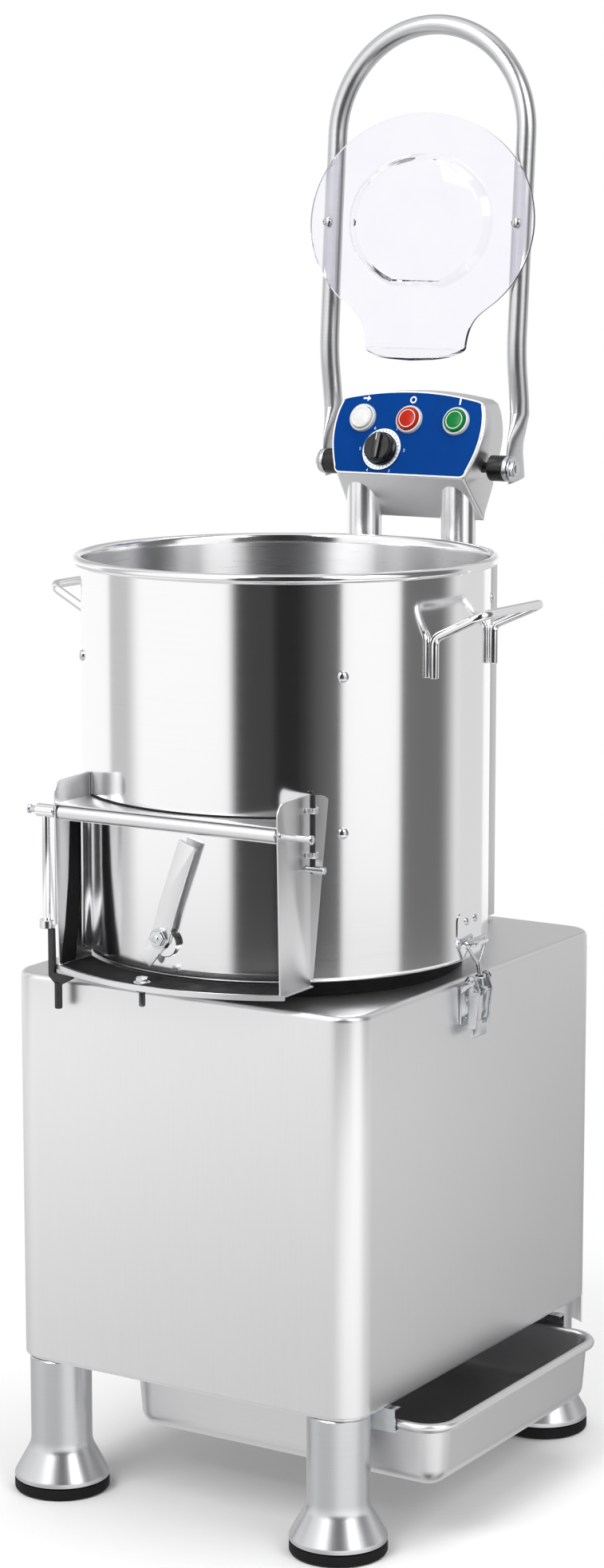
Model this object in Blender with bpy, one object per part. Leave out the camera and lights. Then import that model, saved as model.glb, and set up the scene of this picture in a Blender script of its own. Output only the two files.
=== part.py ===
# Potato peeler machine: a drum with a turning abrasive disc on a cabinet with four legs.
# Metres, +Z up, the front faces -Y. Every piece is drawn about the drum's own axis, and one
# empty carries them all, so that the origin lies under the middle of the whole machine.

import math

import bmesh
import bpy
from mathutils import Matrix, Vector
from mathutils.geometry import tessellate_polygon

# Gaps and cuts
GAP = 0.0003
RUN = 0.0006
OVERRUN = 0.006
BITE = 0.0008
SHEET = 0.0015

# Round pieces: how many sides
FINE = 64
MEDIUM = 40
ROUND = 24
SMALL = 12
WIRE = 8
CORNER_STEPS = 5
SHARP_ANGLE = math.radians(32)

# Cabinet
CABINET_HALF_WIDTH = 0.1875
CABINET_FRONT = 0.186
CABINET_BACK = 0.276
CABINET_BOTTOM = 0.134
CABINET_HEIGHT = 0.369
CABINET_TOP = CABINET_BOTTOM + CABINET_HEIGHT
CABINET_CORNER = 0.030
CABINET_EDGE = 0.004
CABINET_LIP = 0.012
SERVICE_SIDE_MARGIN = 0.0375
SERVICE_LOW_MARGIN = 0.036
SERVICE_HIGH_MARGIN = 0.033

# Back panel, which wraps the rear corners and hangs below the cabinet
BACK_DROP = 0.033
BACK_TOP_MARGIN = 0.017
BACK_WRAP = 45
VENT_COUNT = 7
VENT_HALF_WIDTH = 0.055
VENT_HEIGHT = 0.005
VENT_PITCH = 0.013
VENT_DROP = 0.158

# Base frame under the cabinet
BASE_INSET = 0.004
BASE_THICKNESS = 0.0025

# Legs and feet
LEG_SIDE_INSET = 0.0335
LEG_FRONT_INSET = 0.030
LEG_BACK_INSET = 0.0425
LEG_RADIUS = 0.029
LEG_WALL = 0.003
LEG_TOP_PLATE = 0.004
LEG_FLARE_START = 0.054
FOOT_RADIUS = 0.045
FOOT_HEIGHT = 0.0115
FOOT_EDGE = 0.003
FOOT_PLUG_HEIGHT = 0.028
FLARE_STEPS = 4

# Peel tray, a rolled-rim pan that slides out to the right
TRAY_LEFT = 0.112
TRAY_RIGHT = 0.242
TRAY_FRONT = 0.123
TRAY_BACK = 0.199
TRAY_DROP = 0.014
TRAY_RIM = CABINET_BOTTOM - TRAY_DROP
TRAY_DEPTH = 0.064
TRAY_CORNER = 0.032
TRAY_BEAD = 0.0045
TRAY_WALL = 0.0012
TRAY_TAPER = 0.006
TRAY_BOTTOM_FILLET = 0.010
TRAY_TRAVEL_END = 0.195
RAIL_START = 0.118
RAIL_CLEAR = 0.0014
RAIL_LIP = 0.0045
RAIL_TOP_FLANGE = 0.009

# Drum
DRUM_RADIUS = 0.190
DRUM_WALL = 0.0015
DRUM_LIFT = 0.017
DRUM_HEIGHT = 0.362
DRUM_BOTTOM = CABINET_TOP + DRUM_LIFT
DRUM_RIM = DRUM_BOTTOM + DRUM_HEIGHT
DRUM_FLOOR = 0.002
DRUM_EDGE = 0.004
DRUM_HOLE = 0.026
BEAD_RADIUS = 0.0045
BEAD_SHIFT = 0.0035
OPENING_HALF_WIDTH = 0.112
OPENING_RISE = 0.010
OPENING_HEIGHT = 0.122
OPENING_LOW = DRUM_BOTTOM + OPENING_RISE
OPENING_HIGH = OPENING_LOW + OPENING_HEIGHT
SEAT_INSET = 0.024
SEAT_RADIUS = DRUM_RADIUS - SEAT_INSET
SEAT_WALL = 0.008
LINER_THICKNESS = 0.003
LINER_DROP = 0.076
LINER_CLEAR = 0.0004

# Peel duct from the drum floor down to the tray
DUCT_REACH = 0.128
DUCT_ANGLE = 45
DUCT_RADIUS = 0.0225
DUCT_COLLAR = 0.0045
DUCT_COLLAR_HEIGHT = 0.002
DUCT_CLEAR = 0.0045
OUTLET_RADIUS = 0.024

# Spindle: shaft, bearings, housing, disc
SHAFT_RADIUS = 0.0125
SHAFT_SHOULDER = 0.016
SHAFT_END_RADIUS = 0.010
SHAFT_BELOW_PULLEY = 0.014
SHAFT_ABOVE_DISC = 0.030
BEARING_RADIUS = 0.026
BEARING_HEIGHT = 0.0150
BEARING_DROP = 0.0325
BEARING_SPACING = 0.0685
BEARING_UPPER = CABINET_TOP - BEARING_DROP
BEARING_LOWER = BEARING_UPPER - BEARING_SPACING
HOUSING_FLANGE = 0.065
HOUSING_FLANGE_THICKNESS = 0.010
HOUSING_RADIUS = 0.040
HOUSING_FOOT = 0.002
NECK_RADIUS = 0.0215
NECK_BORE = 0.0155
NECK_DROP = 0.0035
NECK_CLEAR = 0.0010
DISC_EDGE_GAP = 0.008
DISC_RADIUS = DRUM_RADIUS - DISC_EDGE_GAP
DISC_LIFT = 0.012
DISC_UNDERSIDE = DRUM_BOTTOM + DISC_LIFT
DISC_THICKNESS = 0.007
DISC_WAVE = 0.007
DISC_WAVES = 3
DISC_HUB = 0.031
DISC_HUB_RISE = 0.016
DISC_HUB_TOP = DISC_UNDERSIDE + DISC_HUB_RISE
DISC_SKIRT = 0.0055
DISC_SKIRT_DEPTH = 0.006
DISC_EDGE_INSET = 0.002
DISC_RINGS = 4
NUT_RADIUS = 0.020
NUT_HEIGHT = 0.026
NUT_CROWN = 0.009

# Belt drive and motor
PULLEY_DROP = 0.203
PULLEY_LOW = CABINET_TOP - PULLEY_DROP
PULLEY_WIDTH = 0.016
PULLEY_RADIUS = 0.095
PULLEY_HUB = 0.025
PULLEY_HUB_ABOVE = 0.014
PULLEY_HUB_BELOW = 0.004
MOTOR_PULLEY_RADIUS = 0.035
MOTOR_HUB = 0.016
MOTOR_SHAFT_RADIUS = 0.0095
MOTOR_SHAFT_DEPTH = 0.038
GROOVE_DEPTH = 0.009
GROOVE_LIP = 0.0025
GROOVE_FLOOR = 0.004
BELT_SINK = 0.0005
BELT_THICKNESS = 0.0065
BELT_HALF_TOP = 0.0044
BELT_HALF_BOTTOM = 0.0020
MOTOR_Y = 0.190
MOTOR_RADIUS = 0.062
MOTOR_RISE = 0.0413
MOTOR_LOW = PULLEY_LOW + MOTOR_RISE
MOTOR_HEIGHT = 0.150
MOTOR_CHAMFER = 0.008
MOTOR_COWL_HEIGHT = 0.030
MOTOR_COWL_STEP = 0.004
CAPACITOR_RADIUS = 0.018
CAPACITOR_LENGTH = 0.080
CAPACITOR_RISE = 0.025
BRACKET_HALF_WIDTH = 0.070
BRACKET_FRONT = 0.075
BRACKET_WEB = 0.117
BRACKET_BACK = 0.258
BRACKET_SHELF = 0.0035
BRACKET_HOLE = 0.030

# Drum handles, one bent rod on each side
HANDLE_ROD = 0.0042
HANDLE_FRONT_ANGLE = 75
HANDLE_BACK_ANGLE = 111
HANDLE_LEG_DROP = 0.094
HANDLE_BEND_DROP = 0.058
HANDLE_GRIP_DROP = 0.035
HANDLE_REACH = 0.045
HANDLE_GRIP_FRONT = 0.046
HANDLE_GRIP_BACK = 0.066
HANDLE_LEG_FILLET = 0.010
HANDLE_GRIP_FILLET = 0.013

# Discharge chute
CHEEK_MARGIN = 0.008
CHEEK_X = OPENING_HALF_WIDTH + CHEEK_MARGIN
CHEEK_REACH_LOW = 0.0095
CHEEK_REACH_HIGH = 0.0140
CHEEK_RISE = 0.038
CHEEK_TOP = OPENING_HIGH + CHEEK_RISE
CHEEK_ROUND = 0.012
FLANGE_WIDTH = 0.016
FLANGE_RISE = 0.004
SHELF_REACH = 0.043
SHELF_RADIUS = DRUM_RADIUS + SHELF_REACH
SHELF_SEAT_GAP = 0.006
SHELF_INNER = SEAT_RADIUS + SHELF_SEAT_GAP
SHELF_INNER_HALF_WIDTH = 0.100
SHELF_SIDE_BACK = 0.150
SHELF_DROP = 0.001
SHELF_TOP = DRUM_BOTTOM - SHELF_DROP
SHELF_MARGIN = 0.0035
SHELF_LIP = 0.0045
HOOD_RISE = 0.017
HOOD_LOW = OPENING_HIGH + HOOD_RISE
HOOD_SETBACK = 0.001

# Discharge door on its rod
HINGE_OUT = 0.008
HINGE_RISE = 0.009
HINGE_Y = DRUM_RADIUS + HINGE_OUT
HINGE_Z = OPENING_HIGH + HINGE_RISE
HINGE_ROD = 0.003
HINGE_BARREL = 0.0065
HINGE_OVERHANG = 0.030
HINGE_REACH = CHEEK_X + HINGE_OVERHANG
HINGE_HEAD = 0.0055
HINGE_HEAD_LENGTH = 0.003
DOOR_CLEAR = 0.0012
DOOR_SIDE_CLEAR = 0.002
DOOR_OVERLAP = 0.002
DOOR_FLANGE_RISE = 0.0018
DOOR_FLANGE_LOW = OPENING_HIGH + DOOR_FLANGE_RISE
DOOR_FLANGE_THICKNESS = 0.0027
BOSS_X = 0.003
BOSS_RISE = 0.022
BOSS_Z = OPENING_LOW + BOSS_RISE
BOSS_RADIUS = 0.016
BOSS_OUT = 0.0085
BOSS_FACE = DRUM_RADIUS + BOSS_OUT
BOLT_HOLE_OUT = 0.003
BOLT_HOLE_FACE = DRUM_RADIUS + BOLT_HOLE_OUT

# Door lever and its bolts
LEVER_THICKNESS = 0.004
LEVER_PIVOT_RISE = 0.005
LEVER_TIP_DROP = 0.0175
LEVER_BEND_RISE = 0.032
LEVER_END_RISE = 0.094
LEVER_PIVOT = (-0.0070, BOSS_Z + LEVER_PIVOT_RISE)
LEVER_TIP = (-0.0240, BOSS_Z - LEVER_TIP_DROP)
LEVER_BEND = (0.0010, BOSS_Z + LEVER_BEND_RISE)
LEVER_END = (0.0232, BOSS_Z + LEVER_END_RISE)
LEVER_TIP_WIDTH = 0.0165
LEVER_WIDTH = 0.0190
BOLT_RADIUS = 0.004
BOLT_HEAD_RADIUS = 0.0075
BOLT_HEAD_HEIGHT = 0.0055
SHELF_BOLT_X = 0.012
SHELF_BOLT_INSET = 0.011
SHELF_BOLT_Y = SHELF_RADIUS - SHELF_BOLT_INSET
SHELF_BOLT_RADIUS = 0.003
SHELF_BOLT_HEAD = 0.0055
SHELF_BOLT_WASHER = 0.007
SHELF_BOLT_WASHER_HEIGHT = 0.001
SHELF_BOLT_HEAD_HEIGHT = 0.005
SHELF_BOLT_NUT_HEIGHT = 0.006
SHELF_BOLT_LENGTH = 0.021

# Tie rod that hangs from the hinge rod on the left
TIE_X = 0.133
TIE_ROD = 0.004
TIE_SLEEVE = 0.006
TIE_SLEEVE_OUT = 0.142
TIE_SLEEVE_IN = 0.1225
TIE_LENGTH = 0.105
TIE_LOW = HINGE_Z - TIE_LENGTH
TIE_COLLAR = 0.0075
TIE_COLLAR_HEIGHT = 0.008
TIE_STRAP_OUT = 0.131
TIE_STRAP_IN = 0.125
TIE_STRAP_THICKNESS = 0.003
TIE_STRAP_DROP = 0.019
TIE_STRAP_LOW = SHELF_TOP - TIE_STRAP_DROP
TIE_SIDE_BAR = 0.005
TIE_HOOK_REACH = 0.103
TIE_HOOK_HEIGHT = 0.008
TIE_POST_X = 0.121
TIE_POST_LENGTH = 0.026

# Lock pin beside the right cheek
PIN_X = 0.1255
PIN_Y = 0.155
PIN_RADIUS = 0.0025
PIN_ABOVE = 0.003
PIN_LENGTH = 0.071
PIN_BAR_RADIUS = 0.003
PIN_TOP = CHEEK_TOP + PIN_ABOVE
PIN_LOW = PIN_TOP - PIN_LENGTH
PIN_BAR_Z = PIN_LOW + PIN_BAR_RADIUS
PIN_BAR_LENGTH = 0.016
PIN_BAR_INNER = 0.1213
LUG_HALF_DEPTH = 0.005
LUG_WIDTH = 0.010
LUG_HEIGHT = 0.005
LUG_LOWER_RISE = 0.011
LUG_SPACING = 0.040
LUG_LOWER = PIN_BAR_Z + LUG_LOWER_RISE
LUG_UPPER = LUG_LOWER + LUG_SPACING

# Toggle latches that pull the drum down, one on each side
LATCH_Y = 0.0166
LATCH_PLATE = 0.002
LATCH_HALF_WIDTH = 0.018
LATCH_LOW = 0.446
LATCH_HIGH = 0.498
LATCH_PIVOT_OUT = 0.011
LATCH_PIVOT_Z = 0.503
LATCH_PIN = 0.002
LATCH_EAR_Y = 0.0155
LATCH_EAR_RADIUS = 0.005
LATCH_STUB_END = 0.0102
LATCH_ARM_Y = 0.012
LATCH_ARM_RADIUS = 0.0045
LATCH_ARM_LOW = 0.458
LATCH_ARM_LOW_OUT = 0.0115
LATCH_CRANK = 0.011
LATCH_CRANK_ANGLE = 20
LATCH_TAB_LOW = 0.449
LATCH_TAB_HIGH = 0.472
LATCH_EYE = 0.0045
LATCH_EYE_HALF_WIDTH = 0.004
LATCH_STEM = 0.0025
LATCH_APEX_Z = 0.519
LATCH_WIRE = 0.0015
LATCH_BAR = 0.002
LATCH_BAR_X = 0.1952
LATCH_BAR_Z = 0.5398
LATCH_BAR_HALF_WIDTH = 0.023
CATCH_INSIDE = 0.1893
CATCH_OUTSIDE = 0.192
CATCH_HALF_ANGLE = 7.8
CATCH_LOW = 0.5335
CATCH_HIGH = 0.566
HOOK_HALF_WIDTH = 0.013
HOOK_INNER = 0.1895
HOOK_LIP_X = 0.2000
HOOK_LIP_THICKNESS = 0.0016
HOOK_LOW = 0.5345
HOOK_LEDGE = 0.5375
HOOK_LIP_TOP = 0.5386

# Columns, rear guard and control box
COLUMN_X = 0.053
COLUMN_Y = 0.230
COLUMN_RADIUS = 0.0175
COLUMN_WALL = 0.002
COLUMN_TOP = 0.955
COLUMN_FLANGE = 0.026
COLUMN_FLANGE_HEIGHT = 0.004
COVER_HALF_WIDTH = 0.079
COVER_Y = 0.2478
COVER_DEPTH = 0.015
COVER_TOP = 0.858
BOX_PANEL_LOW = (0.206, 0.943)
BOX_PANEL_HIGH = (0.2375, 1.024)
BOX_TOP_BACK = (0.264, 1.024)
BOX_REAR = (0.267, 0.935)
BOX_LOWEST = (0.240, 0.901)
BOX_WALL = 0.002
BOX_WIDTHS = ((0.901, 0.076), (0.943, 0.072), (0.956, 0.0775), (0.970, 0.082), (0.985, 0.084),
              (1.000, 0.083),
              (1.010, 0.0805), (1.016, 0.077))
BOX_ARCH_STEPS = 10
PANEL_THICKNESS = 0.002
PANEL_INSET = 0.0006

# Buttons and timer, placed across and up the panel
BUTTON_X = 0.0525
BUTTON_SHIFT = 0.001
BUTTON_RISE = 0.0570
BUTTON_RADIUS = 0.0113
BUTTON_CLEAR = 0.0004
BUTTON_FACE = 0.0085
BUTTON_DEPTH = 0.006
BUTTON_EDGE = 0.001
BEZEL_RADIUS = 0.0142
BEZEL_FACE = 0.006
TIMER_X = 0.0235
TIMER_RISE = 0.0258
DIAL_RADIUS = 0.0212
DIAL_THICKNESS = 0.0012
KNOB_RADIUS = 0.0165
KNOB_HEIGHT = 0.012
KNOB_EDGE = 0.0015
KNOB_GRIP_WIDTH = 0.0075
KNOB_GRIP_HEIGHT = 0.005
KNOB_SHAFT = 0.004
KNOB_SHAFT_CLEAR = 0.0005

# Lid frame on its two pivots
PIVOT_Y = 0.2395
PIVOT_Z = 0.9525
PIVOT_PIN = 0.005
PIVOT_SPACER = 0.0125
PIVOT_SPACER_END = 0.1007
PIVOT_HEAD = 0.0115
PIVOT_HEAD_LENGTH = 0.006
PIVOT_HEAD_CROWN = 0.004
PIVOT_START = 0.0725
FRAME_LUG_INNER = 0.101
FRAME_LUG_THICKNESS = 0.005
FRAME_LUG_RADIUS = 0.0125
FRAME_LUG_LOW = 0.936
FRAME_LUG_HIGH = 0.978
FRAME_LUG_BACK = 0.272
FRAME_TUBE = 0.0095
FRAME_HALF_WIDTH = 0.1055
FRAME_START = (0.2670, 0.940)
FRAME_KINK = (0.248, 1.062)
FRAME_TOP = (0.272, 1.376)
FRAME_FILLET = 0.160
FRAME_ARC_STEPS = 16

# Lid
LID_HALF_WIDTH = 0.125
LID_HALF_HEIGHT = 0.105
LID_CENTRE_Z = 1.186
LID_THICKNESS = 0.004
LID_DISH_OUTER = 0.079
LID_DISH_INNER = 0.074
LID_DISH_DEPTH = 0.007
LID_TAB_HALF_TOP = 0.062
LID_TAB_HALF_LOW = 0.056
LID_TAB_REACH = 0.118
LID_TAB_ROOT = 0.088
LID_TAB_LIP = 0.018
LID_TAB_LIP_ANGLE = 40
LID_SIDES = 48

# Cable gland in the back panel
GLAND_X = 0.120
GLAND_Z = 0.200
GLAND_RADIUS = 0.011
GLAND_STEM = 0.0075
GLAND_BORE = 0.004
GLAND_OUT = 0.018
GLAND_COLLAR = 0.007
GLAND_NUT = 0.005
GLAND_NECK = 0.0025

# The origin lies midway between the shelf's front edge and the gland's end
BACK_REACH = CABINET_BACK + GAP + SHEET + GAP + GLAND_OUT
MACHINE_Y = (SHELF_RADIUS - BACK_REACH) / 2


def reset_scene():
    for item in list(bpy.data.objects):
        bpy.data.objects.remove(item, do_unlink=True)


def finish(name, colour, roughness, metallic, alpha=1.0):
    material = bpy.data.materials.new(name)
    material.use_nodes = True
    shader = material.node_tree.nodes["Principled BSDF"]
    shader.inputs["Base Color"].default_value = (*colour, 1.0)
    shader.inputs["Roughness"].default_value = roughness
    shader.inputs["Metallic"].default_value = metallic
    shader.inputs["Alpha"].default_value = alpha
    return material


reset_scene()
machine = bpy.data.objects.new("machine", None)
bpy.context.scene.collection.objects.link(machine)
machine.location = (0, MACHINE_Y, 0)

SATIN = finish("satin_stainless", (0.72, 0.72, 0.73), 0.35, 1.0)
MIRROR = finish("polished_stainless", (0.80, 0.80, 0.81), 0.12, 1.0)
ZINC = finish("zinc_plated_steel", (0.62, 0.62, 0.64), 0.35, 1.0)
CAST = finish("cast_iron", (0.12, 0.12, 0.13), 0.6, 0.8)
ALUMINIUM = finish("satin_aluminium", (0.76, 0.77, 0.78), 0.4, 1.0)
RUBBER = finish("black_rubber", (0.02, 0.02, 0.02), 0.8, 0.0)
ABRASIVE = finish("abrasive_grit", (0.10, 0.10, 0.11), 0.95, 0.0)
BLACK = finish("black_plastic", (0.015, 0.015, 0.017), 0.35, 0.0)
BLUE = finish("blue_panel", (0.002, 0.055, 0.32), 0.4, 0.0)
RED = finish("red_plastic", (0.65, 0.03, 0.01), 0.3, 0.0)
GREEN = finish("green_plastic", (0.0, 0.30, 0.05), 0.3, 0.0)
WHITE = finish("white_plastic", (0.85, 0.85, 0.85), 0.3, 0.0)
CLEAR = finish("clear_polycarbonate", (0.95, 0.96, 0.97), 0.08, 0.0, 0.3)
DIAL = finish("dial_aluminium", (0.70, 0.76, 0.82), 0.35, 0.6)


# Outlines in two dimensions

def arc(centre, radius, start, end, steps):
    points = []
    for step in range(steps + 1):
        angle = math.radians(start + (end - start) * step / steps)
        points.append((centre[0] + radius * math.cos(angle), centre[1] + radius * math.sin(angle)))
    return points


def circle(centre, radius, sides):
    return arc(centre, radius, 0, 360, sides)[:-1]


def hexagon(centre, radius):
    return circle(centre, radius, 6)


def rounded_box(left, right, low, high, radius, steps=CORNER_STEPS):
    points = arc((right - radius, high - radius), radius, 0, 90, steps)
    points += arc((left + radius, high - radius), radius, 90, 180, steps)
    points += arc((left + radius, low + radius), radius, 180, 270, steps)
    points += arc((right - radius, low + radius), radius, 270, 360, steps)
    return points


def box_outline(left, right, low, high):
    return [(left, low), (right, low), (right, high), (left, high)]


# An arc-shaped strip about the drum's axis; angles run from the front, positive to the right
def sector(inner, outer, start, end, steps):
    outside = arc((0, 0), outer, start - 90, end - 90, steps)
    inside = arc((0, 0), inner, end - 90, start - 90, steps)
    return outside + inside


# A strip of changing width along a line, its ends round or cut square
def strap_outline(points, widths, square=False, steps=CORNER_STEPS):
    left, right = [], []
    for index, point in enumerate(points):
        before = Vector(points[max(index - 1, 0)])
        after = Vector(points[min(index + 1, len(points) - 1)])
        along = (after - before).normalized()
        side = Vector((-along.y, along.x)) * widths[index] / 2
        left.append(tuple(Vector(point) + side))
        right.append(tuple(Vector(point) - side))
    if square:
        return right + left[::-1]
    head = math.degrees(math.atan2(points[-1][1] - points[-2][1], points[-1][0] - points[-2][0]))
    tail = math.degrees(math.atan2(points[0][1] - points[1][1], points[0][0] - points[1][0]))
    outline = right[1:-1] + arc(points[-1], widths[-1] / 2, head - 90, head + 90, steps)
    outline += left[-2:0:-1] + arc(points[0], widths[0] / 2, tail - 90, tail + 90, steps)
    return outline


def inset_outline(points, distance):
    moved = []
    count = len(points)
    for index in range(count):
        here = Vector(points[index])
        back = (here - Vector(points[index - 1])).normalized()
        ahead = (Vector(points[(index + 1) % count]) - here).normalized()
        normal_back = Vector((-back.y, back.x))
        normal_ahead = Vector((-ahead.y, ahead.x))
        bisector = normal_back + normal_ahead
        moved.append(tuple(here + bisector * distance / (1 + normal_back.dot(normal_ahead))))
    return moved


# Solids

def skin(rings, closed=False):
    mesh = bmesh.new()
    loops = [[mesh.verts.new(point) for point in ring] for ring in rings]
    following = loops[1:] + ([loops[0]] if closed else [])
    for low, high in zip(loops, following):
        for index in range(len(low)):
            after = (index + 1) % len(low)
            mesh.faces.new((low[index], low[after], high[after], high[index]))
    if not closed:
        mesh.faces.new(loops[0][::-1])
        mesh.faces.new(loops[-1])
    return mesh


def turned(profile, sides, closed=False, centre=(0, 0)):
    rings = []
    for radius, height in profile:
        rings.append([(x, y, height) for x, y in circle(centre, radius, sides)])
    return skin(rings, closed)


def slab(outlines, low, high):
    mesh = bmesh.new()
    ends = []
    for level in (low, high):
        ends.append([[mesh.verts.new((u, v, level)) for u, v in line] for line in outlines])
    for bottom, top in zip(*ends):
        for index in range(len(bottom)):
            after = (index + 1) % len(bottom)
            mesh.faces.new((bottom[index], bottom[after], top[after], top[index]))
    if len(outlines) == 1:
        mesh.faces.new(ends[0][0][::-1])
        mesh.faces.new(ends[1][0])
        return mesh
    triangles = tessellate_polygon([[Vector((u, v, 0)) for u, v in line] for line in outlines])
    for end in ends:
        flat = [vertex for line in end for vertex in line]
        for triangle in triangles:
            mesh.faces.new([flat[index] for index in triangle])
    return mesh


# The sharp corners of a route become arcs
def rounded_route(points, fillets, steps=CORNER_STEPS):
    route = [Vector(points[0])]
    for index in range(1, len(points) - 1):
        here = Vector(points[index])
        back = (Vector(points[index - 1]) - here).normalized()
        ahead = (Vector(points[index + 1]) - here).normalized()
        half = back.angle(ahead) / 2
        reach = fillets[index - 1] / math.tan(half)
        middle = here + (back + ahead).normalized() * fillets[index - 1] / math.sin(half)
        first = here + back * reach - middle
        last = here + ahead * reach - middle
        sweep = first.angle(last)
        for step in range(steps + 1):
            turn = sweep * step / steps
            route.append(middle + (first * math.sin(sweep - turn) + last * math.sin(turn)) / math.sin(sweep))
    route.append(Vector(points[-1]))
    return route


# A round rod along a route, its rings turned as little as possible
def rod(route, radius, sides):
    route = [Vector(point) for point in route]
    tangents = []
    for index in range(len(route)):
        before = route[max(index - 1, 0)]
        after = route[min(index + 1, len(route) - 1)]
        tangents.append((after - before).normalized())
    side = tangents[0].orthogonal().normalized()
    rings = []
    for index, point in enumerate(route):
        if index:
            side = tangents[index - 1].rotation_difference(tangents[index]) @ side
        other = tangents[index].cross(side)
        rings.append([tuple(point + side * x + other * y) for x, y in circle((0, 0), radius, sides)])
    return skin(rings)


# Axes for a slab or a turned piece: across, up and outward at a place
def axes(place, across, up):
    across = Vector(across).normalized()
    up = Vector(up).normalized()
    outward = across.cross(up)
    matrix = Matrix((across, up, outward)).transposed().to_4x4()
    matrix.translation = Vector(place)
    return matrix


ALONG_X = axes((0, 0, 0), (0, 1, 0), (0, 0, 1))
TOWARDS_FRONT = axes((0, 0, 0), (1, 0, 0), (0, 0, 1))


# A piece with its own name, finish and origin
def piece(name, mesh, material, matrix=None, origin=(0, 0, 0)):
    if matrix:
        mesh.transform(matrix)
    bmesh.ops.recalc_face_normals(mesh, faces=mesh.faces)
    bmesh.ops.translate(mesh, vec=-Vector(origin), verts=mesh.verts)
    data = bpy.data.meshes.new(name)
    mesh.to_mesh(data)
    mesh.free()
    data.materials.append(material)
    data.shade_smooth()
    data.set_sharp_from_angle(angle=SHARP_ANGLE)
    item = bpy.data.objects.new(name, data)
    bpy.context.scene.collection.objects.link(item)
    item.parent = machine
    item.location = origin
    return item


# A shape that cuts, joins or limits a piece and isn't one itself
def combine(item, operation, mesh, matrix=None):
    label = f"{item.name}_{operation.lower()}_{len(item.modifiers)}"
    tool = piece(label, mesh, item.data.materials[0], matrix)
    tool.display_type = "WIRE"
    tool.hide_render = True
    modifier = item.modifiers.new(label, "BOOLEAN")
    modifier.operation = operation
    modifier.solver = "EXACT"
    modifier.object = tool


def cut(item, mesh, matrix=None):
    combine(item, "DIFFERENCE", mesh, matrix)


def join(item, mesh, matrix=None):
    combine(item, "UNION", mesh, matrix)


def limit(item, mesh, matrix=None):
    combine(item, "INTERSECT", mesh, matrix)


def mirrored(points, side):
    return [(side * point[0], *point[1:]) for point in points]


def duct_place():
    angle = math.radians(DUCT_ANGLE)
    return (DUCT_REACH * math.sin(angle), -DUCT_REACH * math.cos(angle))


def cabinet_ring(inset, height):
    radius = max(CABINET_CORNER - inset, CABINET_EDGE / 4)
    outline = rounded_box(
        -CABINET_HALF_WIDTH + inset, CABINET_HALF_WIDTH - inset,
        -CABINET_FRONT + inset, CABINET_BACK - inset, radius)
    return [(x, y, height) for x, y in outline]


def build_cabinet():
    inner_top = CABINET_TOP - SHEET
    inner_edge = CABINET_EDGE - SHEET
    rings = [cabinet_ring(CABINET_EDGE, inner_top)]
    rings.append(cabinet_ring(SHEET, inner_top - inner_edge))
    rings.append(cabinet_ring(SHEET, CABINET_BOTTOM + SHEET))
    rings.append(cabinet_ring(CABINET_LIP, CABINET_BOTTOM + SHEET))
    rings.append(cabinet_ring(CABINET_LIP, CABINET_BOTTOM))
    rings.append(cabinet_ring(0, CABINET_BOTTOM))
    for inset, drop in arc((CABINET_EDGE, -CABINET_EDGE), CABINET_EDGE, 180, 90, 3):
        rings.append(cabinet_ring(inset, CABINET_TOP + drop))
    shell = piece("cabinet_shell", skin(rings), SATIN)
    cut(shell, turned([(NECK_RADIUS + NECK_CLEAR, inner_top - OVERRUN),
                       (NECK_RADIUS + NECK_CLEAR, CABINET_TOP + OVERRUN)], ROUND))
    cut(shell, turned([(DUCT_RADIUS + GAP, inner_top - OVERRUN),
                       (DUCT_RADIUS + GAP, CABINET_TOP + OVERRUN)], ROUND, centre=duct_place()))
    half = CABINET_HALF_WIDTH - SERVICE_SIDE_MARGIN
    opening = box_outline(-half, half, CABINET_BOTTOM + SERVICE_LOW_MARGIN,
                          CABINET_TOP - SERVICE_HIGH_MARGIN)
    cut(shell, slab([opening], -CABINET_BACK - OVERRUN, -CABINET_BACK + OVERRUN), TOWARDS_FRONT)


def build_back_panel():
    corner_x = CABINET_HALF_WIDTH - CABINET_CORNER
    corner_y = CABINET_BACK - CABINET_CORNER
    outer = CABINET_CORNER + GAP + SHEET
    inner = CABINET_CORNER + GAP
    outline = arc((corner_x, corner_y), outer, 90 - BACK_WRAP, 90, CORNER_STEPS)
    outline += arc((-corner_x, corner_y), outer, 90, 90 + BACK_WRAP, CORNER_STEPS)
    outline += arc((-corner_x, corner_y), inner, 90 + BACK_WRAP, 90, CORNER_STEPS)
    outline += arc((corner_x, corner_y), inner, 90, 90 - BACK_WRAP, CORNER_STEPS)
    panel = piece("back_panel", slab([outline], CABINET_BOTTOM - BACK_DROP, CABINET_TOP - BACK_TOP_MARGIN),
                  SATIN)
    for index in range(VENT_COUNT):
        low = CABINET_TOP - VENT_DROP + index * VENT_PITCH
        for side in (-1, 1):
            middle = side * (VENT_HALF_WIDTH + VENT_PITCH)
            slot = rounded_box(middle - VENT_HALF_WIDTH, middle + VENT_HALF_WIDTH,
                               low, low + VENT_HEIGHT, VENT_HEIGHT / 2 - GAP, 2)
            cut(panel, slab([slot], -BACK_REACH, -CABINET_BACK + OVERRUN), TOWARDS_FRONT)
    hole = circle((-GLAND_X, GLAND_Z), GLAND_STEM + GAP, SMALL)
    cut(panel, slab([hole], -BACK_REACH, -CABINET_BACK + OVERRUN), TOWARDS_FRONT)


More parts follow.
